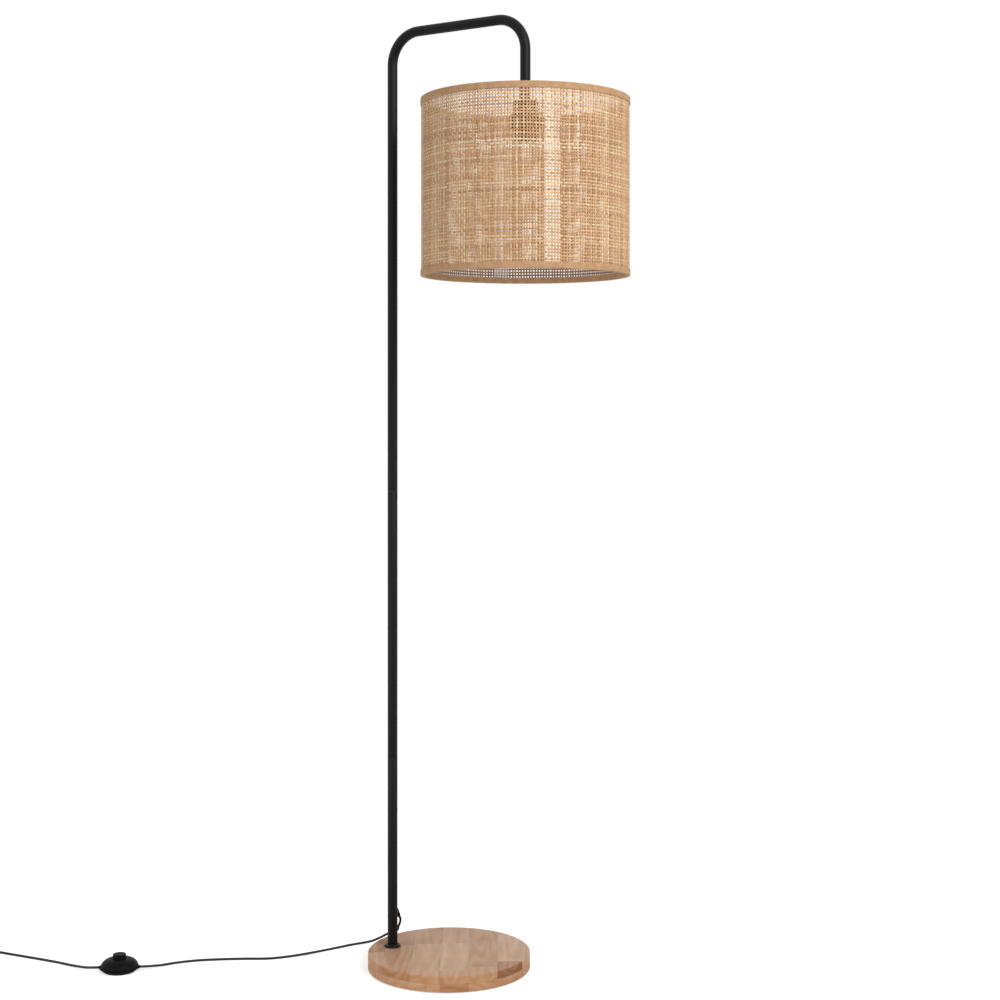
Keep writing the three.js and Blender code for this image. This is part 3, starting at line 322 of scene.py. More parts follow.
@dataclass(frozen=True)
class TapeFinish(Finish):
    """Plain-woven tan cotton tape: matt, with fine threads whose crests carry a painted highlight.

    The real threads are about 0.4 mm apart, too fine to show, so they are drawn three times as wide.
    """

    lighter: str = "D0A67C"
    thread: float = 1.2 * MM
    thread_height: float = 0.2 * MM
    thread_bump: float = 0.3
    thread_share: float = 0.12
    mottle: float = 9 * MM
    radius: float = 160 * MM

    def paint(self, tree: NodeTree, shader: Node) -> None:
        """Weaves the tape from threads round the shade and up it.

        Args:
            tree: The material's node tree.
            shader: Its shader node.
        """
        place = add_node(tree, "TexCoord").outputs["Object"]
        centred = add_node(tree, "Mapping", inputs={"Vector": place, "Location": tuple(-SHADE_AXIS)})
        parts = add_node(tree, "SeparateXYZ", inputs={"Vector": centred})
        turn = add_node(
            tree, "Math", {"operation": "ARCTAN2"}, {0: parts.outputs["Y"], 1: parts.outputs["X"]},
        )
        waves = []
        for source, scale in ((turn.outputs[0], self.radius), (parts.outputs["Z"], 1.0)):
            phase = add_node(
                tree, "Math", {"operation": "MULTIPLY"},
                {0: source, 1: scale * 2 * math.pi / self.thread},
            )
            waves.append(add_node(tree, "Math", {"operation": "SINE"}, {0: phase}))
        weave = add_node(tree, "Math", {"operation": "MULTIPLY"}, {0: waves[0], 1: waves[1]})
        mottle = add_node(
            tree, "TexNoise", inputs={"Vector": place, "Scale": 1 / self.mottle, "Detail": 4.0},
        )
        # The threads' crests are painted lighter, a painted highlight, and the glue's mottle varies the tan
        # at random.
        height = add_node(
            tree, "Math", {"operation": "MULTIPLY_ADD"},
            {0: weave, 1: self.thread_share, 2: mottle.outputs["Fac"]},
        )
        colour = add_node(
            tree, "ValToRGB", {"stops": [(0.3, self.colour), (0.72, self.lighter)]}, {"Fac": height},
        )
        bump = add_node(
            tree, "Bump",
            inputs={"Strength": self.thread_bump, "Distance": self.thread_height, "Height": weave},
        )
        tree.links.new(colour.outputs["Color"], shader.inputs["Base Color"])
        tree.links.new(bump.outputs["Normal"], shader.inputs["Normal"])


@dataclass(frozen=True)
class FilmFinish(Finish):
    """Milky joining film: some of the view passes it, light from behind shows through, and it has a painted
    glow.

    The studio's even light is dimmer than the white that it shows, so a painted glow, its emission, stands in
    for what a film laid double catches of the light from behind, so that the holes over it look white. The
    view passes both of its faces, and cover is each one's share.
    """

    cover: float = 0.3
    glow: float = 0.5
    painted_glow: float = 0.12

    def paint(self, tree: NodeTree, shader: Node) -> None:
        """Mixes the film's surface, with its painted glow, with light from behind and a clear part.

        Args:
            tree: The material's node tree.
            shader: Its shader node.
        """
        behind = add_node(tree, "BsdfTranslucent", inputs={"Color": linear(self.colour)})
        # Painted glow: the film's emission stands in for light from behind, though the film is no lamp.
        shader.inputs["Emission Color"].default_value = linear(self.colour)
        shader.inputs["Emission Strength"].default_value = self.painted_glow / (1 - self.glow)
        milky = add_node(
            tree, "MixShader",
            inputs={"Fac": self.glow, 1: shader.outputs["BSDF"], 2: behind.outputs["BSDF"]},
        )
        clear = add_node(tree, "BsdfTransparent")
        film = add_node(
            tree, "MixShader",
            inputs={"Fac": self.cover, 1: clear.outputs["BSDF"], 2: milky.outputs["Shader"]},
        )
        output = tree.get_output_node("CYCLES")
        tree.links.new(film.outputs["Shader"], output.inputs["Surface"])


@dataclass(frozen=True)
class StaveFinish(Finish):
    """Lacquered hardwood glued up from staves: each block has its own tone, with the rings' arcs along it.

    The staves are joined end to end from blocks, and turn is the way they run. A flat-sawn block shows its
    growth rings as long arches, which are drawn as the contours of a smooth, drawn-out noise. The sawn side
    is painted warmer than the top, as painted light in place of bounced light and the top's sheen, and its
    dark blocks are darker there; it is also darker where it cuts across the grain, as end grain is.
    Two seeds pick how the joints are staggered and which tone each block has. The shares say how much the
    block, its rings, its clouds and its fibres count in the tone, and a pull is how much slower one of these
    changes along the grain than across it.
    """

    turn: float = 0.0
    shift: tuple[float, float] = (0.0, 0.0)
    stagger_seed: float = 0.0
    tone_seed: float = 3.0
    stave: float = 44.9 * MM
    block: float = 140 * MM
    block_spread: float = 3.0
    arches: float = 7.0
    heart: float = 40 * MM
    heart_pull: float = 0.12
    cloud: float = 24 * MM
    cloud_pull: float = 0.35
    fibre: float = 1.1 * MM
    fibre_pull: float = 0.04
    fibre_height: float = 0.2 * MM
    fibre_bump: float = 0.18
    darkest: float = -0.3
    block_share: float = 0.52
    ring_share: float = 0.22
    cloud_share: float = 0.5
    fibre_share: float = 0.36
    hues: tuple[float, float] = (0.494, 0.503)
    seam: tuple[float, float] = (0.004, 0.014)
    seam_value: float = 0.86
    # Painted light on the sawn side: it is painted warmer than the top and as bright as the side value, less
    # on dark blocks, in place of bounced light and the top's sheen. The end value darkens the end grain.
    painted_side_warmth: float = 1.2
    painted_side_value: float = 1.0
    end_value: float = 0.94
    dark_block: float = 0.5
    dark_tone: float = 0.35
    stops: tuple[tuple[float, str], ...] = (
        (0.0, "8E6247"), (0.22, "B08264"), (0.42, "BF9677"), (0.6, "CBA384"), (0.8, "D5B195"),
        (1.0, "E2C5AA"),
    )

    def paint(self, tree: NodeTree, shader: Node) -> None:
        """Lays the staves, tones their blocks and draws rings and fibres.

        Args:
            tree: The material's node tree.
            shader: Its shader node.
        """
        place = add_node(tree, "TexCoord").outputs["Object"]
        turned = add_node(
            tree, "Mapping",
            inputs={"Vector": place, "Rotation": (0, 0, self.turn), "Location": (*self.shift, 0)},
        )
        parts = add_node(tree, "SeparateXYZ", inputs={"Vector": turned})
        row = add_node(tree, "Math", {"operation": "DIVIDE"}, {0: parts.outputs["Y"], 1: self.stave})
        row_number = add_node(tree, "Math", {"operation": "FLOOR"}, {0: row})
        seeded = add_node(tree, "Math", {"operation": "ADD"}, {0: row_number, 1: self.stagger_seed})
        stagger = add_node(tree, "TexWhiteNoise", {"noise_dimensions": "1D"}, {"W": seeded})
        run = add_node(
            tree, "Math", {"operation": "MULTIPLY_ADD"},
            {0: parts.outputs["X"], 1: 1 / self.block, 2: stagger.outputs["Value"]},
        )
        block_number = add_node(tree, "Math", {"operation": "FLOOR"}, {0: run})
        cell = add_node(
            tree, "CombineXYZ", inputs={"X": row_number, "Y": block_number, "Z": self.tone_seed},
        )
        tone = add_node(tree, "TexWhiteNoise", inputs={"Vector": cell})
        offset = add_node(
            tree, "VectorMath", {"operation": "SCALE"},
            {0: tone.outputs["Color"], "Scale": self.block_spread},
        )
        moved = add_node(tree, "VectorMath", {"operation": "ADD"}, {0: turned, 1: offset})
        rings = self.rings(tree, moved.outputs[0])
        fibres = self.stretched(tree, moved.outputs[0], self.fibre_pull, self.fibre, 2.0)
        clouds = self.stretched(tree, moved.outputs[0], self.cloud_pull, self.cloud, 3.0)
        level = self.darkest
        for source, share in (
            (tone.outputs["Value"], self.block_share),
            (rings, self.ring_share),
            (clouds.outputs["Fac"], self.cloud_share),
            (fibres.outputs["Fac"], self.fibre_share),
        ):
            level = add_node(
                tree, "Math", {"operation": "MULTIPLY_ADD"}, {0: source, 1: share, 2: level},
            ).outputs[0]
        colour = add_node(tree, "ValToRGB", {"stops": self.stops}, {"Fac": level})
        # Painted light: the sides are painted warmer than the top, in place of bounced light and the top's
        # sheen, and darker on dark blocks; the end grain is darker too.
        side_light_warmth, shade = self.sawn(tree, tone.outputs["Value"])
        hue_and_side_light = add_node(
            tree, "HueSaturation",
            inputs={
                "Color": colour.outputs["Color"], "Hue": self.hue(tree, tone.outputs["Color"]),
                "Saturation": side_light_warmth, "Value": shade,
            },
        )
        seam = add_node(tree, "Math", {"operation": "PINGPONG"}, {0: row, 1: 0.5})
        line = add_node(
            tree, "MapRange", {"interpolation_type": "SMOOTHSTEP"},
            {
                "Value": seam, "From Min": self.seam[0], "From Max": self.seam[1],
                "To Min": self.seam_value, "To Max": 1.0,
            },
        )
        shaded = add_node(
            tree, "VectorMath", {"operation": "SCALE"}, {0: hue_and_side_light.outputs["Color"], "Scale": line},
        )
        bump = add_node(
            tree, "Bump",
            inputs={
                "Strength": self.fibre_bump, "Distance": self.fibre_height,
                "Height": fibres.outputs["Fac"],
            },
        )
        tree.links.new(shaded.outputs[0], shader.inputs["Base Color"])
        tree.links.new(bump.outputs["Normal"], shader.inputs["Normal"])

    def stretched(
        self, tree: NodeTree, place: NodeSocket, pull: float, size: float, detail: float
    ) -> Node:
        """Noise drawn out along the grain.

        Args:
            tree: The material's node tree.
            place: The place in the block.
            pull: How much slower it changes along the grain than across it.
            size: The size of its spots across the grain.
            detail: Its detail.

        Returns:
            The noise node.
        """
        drawn = add_node(tree, "Mapping", inputs={"Vector": place, "Scale": (pull, 1.0, 1.0)})
        return add_node(
            tree, "TexNoise",
            inputs={"Vector": drawn, "Scale": 1 / size, "Detail": detail, "Roughness": 0.5},
        )

    def rings(self, tree: NodeTree, place: NodeSocket) -> NodeSocket:
        """The growth rings, 1 on pale early wood and 0 on each ring's thin dark late wood.

        Args:
            tree: The material's node tree.
            place: The place in the block.

        Returns:
            The socket with the rings' value.
        """
        heart = self.stretched(tree, place, self.heart_pull, self.heart, 1.0)
        scaled = add_node(
            tree, "Math", {"operation": "MULTIPLY"}, {0: heart.outputs["Fac"], 1: self.arches * 2},
        )
        return add_node(tree, "Math", {"operation": "PINGPONG"}, {0: scaled, 1: 1.0}).outputs[0]

    def sawn(self, tree: NodeTree, tone: NodeSocket) -> tuple[NodeSocket, NodeSocket]:
        """Painted light on the sawn side: its warmth against the top, and its brightness, lower on dark
        blocks.

        Args:
            tree: The material's node tree.
            tone: The block's tone.

        Returns:
            The sockets with the saturation and the brightness, both 1 on the top.
        """
        facing = add_node(tree, "TexCoord").outputs["Normal"]
        turned = add_node(tree, "Mapping", inputs={"Vector": facing, "Rotation": (0, 0, self.turn)})
        parts = add_node(tree, "SeparateXYZ", inputs={"Vector": turned})
        dark = add_node(
            tree, "MapRange",
            inputs={
                "Value": tone, "From Max": self.dark_tone, "To Min": self.painted_side_value - self.dark_block,
                "To Max": self.painted_side_value,
            },
        )
        # Painted light on the sides, by how far each faces sideways, and darker end grain where it faces
        # along it.
        amounts = []
        for axis, start, end in (
            ("Z", self.painted_side_warmth, 1.0),
            ("Z", dark.outputs[0], 1.0),
            ("X", 1.0, self.end_value),
        ):
            size = add_node(tree, "Math", {"operation": "ABSOLUTE"}, {0: parts.outputs[axis]})
            amount = add_node(tree, "MapRange", inputs={"Value": size, "To Min": start, "To Max": end})
            amounts.append(amount.outputs[0])
        side_light_warmth, side, across = amounts
        value = add_node(tree, "Math", {"operation": "MULTIPLY"}, {0: side, 1: across})
        return side_light_warmth, value.outputs[0]

    def hue(self, tree: NodeTree, tones: NodeSocket) -> NodeSocket:
        """A small shift of each block's hue, towards pink or towards straw.

        Args:
            tree: The material's node tree.
            tones: The block's random colour.

        Returns:
            The socket for the hue, 0.5 where nothing shifts.
        """
        parts = add_node(tree, "SeparateXYZ", inputs={"Vector": tones})
        return add_node(
            tree, "MapRange",
            inputs={"Value": parts.outputs["Y"], "To Min": self.hues[0], "To Max": self.hues[1]},
        ).outputs[0]


# Steel tube sprayed with black powder and baked: nearly black and satin, with a faint orange-peel grain.
POWDER_COAT = GrainedFinish(
    "powder_coated_steel", "0B0B0C", Slot.BLACK_STEEL, roughness=0.46, specular=0.2, worn="101011",
    grain=0.7 * MM, bump=0.12,
)
# Zinc-plated steel screws, sleeves and plates: pale grey metal, a little dulled by the plating's fine grain.
ZINC = GrainedFinish(
    "zinc_plated_steel", "9FA0A2", Slot.PLAIN_STEEL, roughness=0.34, metallic=1.0, worn="85878B",
    grain=0.5 * MM, bump=0.05,
)
# Brass rolled or turned: warm yellow metal, bright, with slightly browner patches where air has dulled it.
BRASS = GrainedFinish(
    "rolled_brass", "C2A25C", Slot.BRASS, roughness=0.28, metallic=1.0, worn="A88A48", grain=0.5 * MM,
    bump=0.05,
)
# Steel wire dipped in white lacquer: warm white with a soft gloss, where the coat pools a little unevenly.
WHITE_WIRE = GrainedFinish(
    "white_dipped_wire", "DBD7CF", Slot.WHITE_WIRE, roughness=0.38, worn="CFCAC0", grain=1.0 * MM,
    bump=0.06,
)
# Black polymer moulded in an eroded mould: a deep, even black whose fine grain spreads its highlights.
MOULDING = GrainedFinish(
    "moulded_black_polymer", "08080A", Slot.MOULDING, roughness=0.5, specular=0.08, worn="0C0C0F",
    grain=0.35 * MM, bump=0.1,
)
# Porcelain glazed and fired: creamy white under a clear, sharp gloss.
GLAZE = GrainedFinish(
    "glazed_porcelain", "E4E1DA", Slot.CERAMIC, roughness=0.18, ior=1.52, worn="D9D5CC", grain=1.5 * MM,
    bump=0.03,
)
# Wool pressed into felt: charcoal with no gloss, and a fibrous nap that shows as a coarse grain.
FELT = GrainedFinish(
    "pressed_felt", "2C2B2B", Slot.FELT, roughness=0.95, worn="3A3938", grain=0.8 * MM, bump=0.6,
)
# Soft polymer extruded over the cores: smooth black, with a thin line of light along the lead.
SHEATH = GrainedFinish(
    "extruded_black_sheath", "0C0C0E", Slot.CORD, roughness=0.45, specular=0.4, worn="121215",
    grain=0.5 * MM, bump=0.05,
)
# Rattan peeled, split flat and woven dry: tan to cream strands, satin outside and browner on the split
# side, partly its own colour and partly painted shade for the drum's shaded inside.
CANE = CaneFinish("split_rattan_cane", "CCA077", Slot.RATTAN, roughness=0.55)
# Milky plastic film, one layer on the back seam: a veil through which the far room still shows, with a
# weak painted glow.
THIN_FILM = FilmFinish("milky_joining_film", "F0EAE8", Slot.FILM, roughness=0.4)
# The same film laid double on the front seam: it hides what is behind, and its stronger painted glow
# turns the holes nearly white.
DOUBLE_FILM = FilmFinish(
    "milky_joining_film_double", "FDFDFC", Slot.FILM, roughness=0.4, cover=0.9, painted_glow=0.29,
)
# Cotton tape woven plain, folded over the rim and glued: tan, matt, and faintly mottled by the glue.
TAPE = TapeFinish("woven_cotton_tape", "BC9168", Slot.TAPE, roughness=0.8)
# Hardwood staves glued, sanded and clear-lacquered: pinkish tan blocks with soft arches and a low gloss.
# The lower board's staves run across the upper's.
STAVE_TURN = math.radians(-122.3)
UPPER_WOOD = StaveFinish(
    "lacquered_staves_upper", "C4A183", Slot.WOOD, roughness=0.5, specular=0.2, turn=STAVE_TURN,
    shift=(0.0, -0.0125), stagger_seed=336814, tone_seed=812809,
)
LOWER_WOOD = StaveFinish(
    "lacquered_staves_lower", "C4A183", Slot.WOOD, roughness=0.5, specular=0.2,
    turn=STAVE_TURN + math.pi / 2, shift=(0.0, -0.0098), stagger_seed=169044, tone_seed=319718,
)


def of_kind(parts: Sequence, kind: type) -> list:
    """The parts of one kind in what a mesh operator gives back."""
    return [part for part in parts if isinstance(part, kind)]


def rib_profile(
    radii: Sequence[float], start: float, pitch: float, outline: Profile
) -> list[tuple[float, float]]:
    """Profile points of ribs in a row.

    Args:
        radii: Each rib's radius.
        start: Where the first rib begins.
        pitch: How far apart the ribs are.
        outline: One rib's points, each as its drop below the radius and its share of the pitch.

    Returns:
        (radius, height) points of all ribs.
    """
    return [
        (radius - drop, start + i * pitch + share * pitch)
        for i, radius in enumerate(radii)
        for drop, share in outline
    ]


class Shape:
    """A mesh under work, with the few operations that the lamp's pieces share."""

    def __init__(self) -> None:
        """Starts an empty mesh."""
        self.bm = bmesh.new()

    @staticmethod
    def turned(profile: Profile, segments: int = 96, rounds: dict[int, float] | None = None) -> "Shape":
        """Turns a profile about Z.

        Args:
            profile: (radius, height) points; one that leaves the axis alone is closed on itself.
            segments: Steps of the full turn.
            rounds: Radii for some of the profile's corners, by index.

        Returns:
            The turned shape.
        """
        shape = Shape()
        corners = shape.line([(radius, 0, height) for radius, height in profile], profile[0][0] > 0)
        for index, radius in (rounds or {}).items():
            shape.soften([corners[index]], radius, 3)
        shape.spun(shape.bm.verts[:] + shape.bm.edges[:], FULL_TURN, segments, merge=True)
        return shape.mended()

    @staticmethod
    def rod(
        radius: float, low: float, high: float, segments: int, rounds: dict[int, float] | None = None
    ) -> "Shape":
        """A solid disc or rod about Z.

        Args:
            radius: Its radius.
            low: Its lower end.
            high: Its upper end.
            segments: Steps of the full turn.
            rounds: Radii for its edges: 1 is the lower one and 2 the upper one.

        Returns:
            The rod.
        """
        return Shape.turned([(0, low), (radius, low), (radius, high), (0, high)], segments, rounds)

    @staticmethod
    def block(size: Sequence[float], bevel: float = 0.0, segments: int = 2) -> "Shape":
        """A box about the origin with its edges rounded.

        Args:
            size: Its three sides.
            bevel: The edges' radius.
            segments: Steps across each rounded edge.

        Returns:
            The box.
        """
        shape = Shape()
        bmesh.ops.create_cube(shape.bm, size=1.0)
        bmesh.ops.scale(shape.bm, vec=size, verts=shape.bm.verts[:])
        if bevel > 0:
            shape.soften(shape.bm.edges[:], bevel, segments)
        return shape

    def line(self, points: Sequence[Sequence[float]], closed: bool = True) -> list[BMVert]:
        """Adds a line of edges through points.

        Args:
            points: The points.
            closed: Whether the last one joins the first.

        Returns:
            Its corners in the mesh.
        """
        corners = [self.bm.verts.new(point) for point in points]
        pairs = list(zip(corners, corners[1:]))
        if closed:
            pairs.append((corners[-1], corners[0]))
        for pair in pairs:
            self.bm.edges.new(pair)
        return corners

    def mended(self) -> "Shape":
        """Merges doubles and points the faces outwards."""
        bmesh.ops.remove_doubles(self.bm, verts=self.bm.verts[:], dist=1e-7)
        bmesh.ops.recalc_face_normals(self.bm, faces=self.bm.faces[:])
        return self

    def soften(self, parts: Sequence, radius: float, segments: int = 2) -> "Shape":
        """Rounds edges, or corners of a line.

        Args:
            parts: The edges, or the corners.
            radius: Their radius.
            segments: Steps across each.

        Returns:
            This shape.
        """
        flat = isinstance(parts[0], BMVert)
        bmesh.ops.bevel(
            self.bm, geom=list(parts), offset=radius, offset_type="OFFSET", segments=segments,
            profile=0.5, affect="VERTICES" if flat else "EDGES", material=-1, clamp_overlap=not flat,
        )
        return self

    def spun(
        self,
        parts: Sequence,
        angle: float,
        steps: int,
        centre: Sequence[float] = (0, 0, 0),
        axis: Sequence[float] = (0, 0, 1),
        climb: float = 0.0,
        merge: bool = False,
        copies: bool = False,
    ) -> list:
        """Spins parts of the shape round an axis.

        Args:
            parts: What is spun.
            angle: The whole angle.
            steps: How many steps it takes.
            centre: A point on the axis.
            axis: The axis.
            climb: How far it rises with each step.
            merge: Whether a full turn closes on itself.
            copies: Whether each step leaves a copy, in place of one swept form.

        Returns:
            What it ends in, of the first part's kind.
        """
        made = bmesh.ops.spin(
            self.bm, geom=parts, cent=centre, axis=axis, dvec=(0, 0, climb), angle=angle, steps=steps,
            use_merge=merge, use_normal_flip=False, use_duplicate=copies,
        )
        return of_kind(made["geom_last"], type(parts[0]))

    def drawn(self, front: Sequence, offset: Sequence[float]) -> list:
        """Extrudes edges or faces straight on.

        Args:
            front: The edges, or the faces.
            offset: How far they go.

        Returns:
            The new edges or faces at the end.
        """
        kind = type(front[0])
        if kind is BMEdge:
            made = bmesh.ops.extrude_edge_only(self.bm, edges=front)["geom"]
        else:
            made = bmesh.ops.extrude_face_region(self.bm, geom=front)["geom"]
        bmesh.ops.translate(self.bm, vec=offset, verts=of_kind(made, BMVert))
        return of_kind(made, kind)

    def placed(self, matrix: Matrix) -> "Shape":
        """Moves the whole shape by a matrix."""
        bmesh.ops.transform(self.bm, matrix=matrix, verts=self.bm.verts[:])
        return self

    def moved(self, *offset: float) -> "Shape":
        """Moves the whole shape by an offset."""
        return self.placed(Matrix.Translation(Vector(offset)))

    def joined(self, *others: "Shape") -> "Shape":
        """Adds other shapes' meshes to this one, each as a body of its own."""
        for other in others:
            spare = bpy.data.meshes.new("spare")
            other.bm.to_mesh(spare)
            self.bm.from_mesh(spare)
            bpy.data.meshes.remove(spare)
        return self

    def mesh_object(self, name: str) -> Object:
        """Makes a plain object of the shape, in the scene."""
        mesh = bpy.data.meshes.new(name)
        self.bm.to_mesh(mesh)
        self.bm.free()
        made = bpy.data.objects.new(name, mesh)
        bpy.context.scene.collection.objects.link(made)
        return made

    def cut_by(self, *cutters: "Shape") -> "Shape":
        """Takes other shapes away from this one.

        Args:
            cutters: The shapes to take away.

        Returns:
            A new shape with what is left.
        """
        stock = self.mesh_object("stock")
        tools = [cutter.mesh_object("cutter") for cutter in cutters]
        for tool in tools:
            cut = stock.modifiers.new("cut", "BOOLEAN")
            cut.operation = "DIFFERENCE"
            cut.solver = "EXACT"
            cut.object = tool
        ready = stock.evaluated_get(bpy.context.evaluated_depsgraph_get())
        left = Shape()
        left.bm.from_mesh(ready.to_mesh())
        ready.to_mesh_clear()
        for done in [stock, *tools]:
            mesh = done.data
            bpy.data.objects.remove(done)
            bpy.data.meshes.remove(mesh)
        return left


def finished(
    piece: Object,
    body: Body,
    finish: Finish,
    replaced: Sequence[str] = (),
    crease: float = 32,
) -> Object:
    """Gives a piece its surface, its body and its place in the part.

    Args:
        piece: The object, a mesh or a curve.
        body: The body it rides on.
        finish: Its surface finish.
        replaced: The part's nodes that it stands for.
        crease: The angle in degrees past which an edge stays sharp.

    Returns:
        The piece.
    """
    if not piece.data.materials:
        piece.data.materials.append(finish.material())
    if piece.type == "MESH":
        piece.data.shade_smooth()
        piece.data.set_sharp_from_angle(angle=math.radians(crease))
    if replaced:
        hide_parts(*replaced)
    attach(piece, body.value)
    size = len(piece.data.polygons) if piece.type == "MESH" else len(piece.data.splines)
    LOG.info("%s rides on %s, %d faces or splines", piece.name, body.value, size)
    return piece


def dress(finish: Finish, *nodes: str) -> None:
    """Gives some of the part's own nodes a finish.

    Args:
        finish: The finish.
        nodes: The nodes' names.
    """
    for name in nodes:
        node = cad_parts[name]
        if not node.material_slots:
            node.data.materials.append(finish.material())
        for place in node.material_slots:
            place.material = finish.material()
        LOG.info("%s keeps its shape and is %s", name, finish.name)


def smooth_route(points: Sequence[Vector], spacing: float) -> list[Vector]:
    """A centripetal curve through points, as closely spaced points.

    Args:
        points: The points it passes through.
        spacing: About how far apart the new points lie.

    Returns:
        The curve's points.
    """
    ends = [points[0] * 2 - points[1], *points, points[-1] * 2 - points[-2]]
    route = [points[0].copy()]
    for i in range(1, len(ends) - 2):
        before, start, end, after = ends[i - 1 : i + 3]
        spans = [math.sqrt((b - a).length) for a, b in ((before, start), (start, end), (end, after))]
        first, along, last = spans
        leave = (start - before) / first - (end - before) / (first + along) + (end - start) / along
        arrive = (end - start) / along - (after - start) / (along + last) + (after - end) / last
        leave, arrive = leave * along, arrive * along
        steps = max(2, round((end - start).length / spacing))
        for step in range(1, steps + 1):
            t = step / steps
            bend = start * (2 * t**3 - 3 * t**2 + 1) + end * (3 * t**2 - 2 * t**3)
            route.append(bend + leave * (t**3 - 2 * t**2 + t) + arrive * (t**3 - t**2))
    return route


def route_length(points: Sequence[Vector]) -> float:
    """The length of a line through points."""
    return sum((b - a).length for a, b in zip(points, points[1:]))


def lead_curve(name: str, points: Sequence[Vector]) -> Object:
    """A round lead along points, as a curve of one open spline.

    Args:
        name: Its name.
        points: Its centreline.

    Returns:
        The curve object.
    """
    curve = bpy.data.curves.new(name, "CURVE")
    curve.dimensions = "3D"
    curve.bevel_depth = LEAD_RADIUS
    curve.bevel_resolution = 3
    curve.use_fill_caps = True
    spline = curve.splines.new("POLY")
    spline.points.add(len(points) - 1)
    for spot, point in zip(spline.points, points):
        spot.co = (*point, 1.0)
    spline.use_smooth = True
    made = bpy.data.objects.new(name, curve)
    bpy.context.scene.collection.objects.link(made)
    return made


@dataclass(frozen=True)
class Softbox:
    """A square softbox: where it hangs, its side in metres, its power in watts and the point it faces.

    Its place is metres to the camera's right of the lamp, towards the camera, and up.
    """

    name: str
    place: Point
    size: float
    power: float
    target: Point


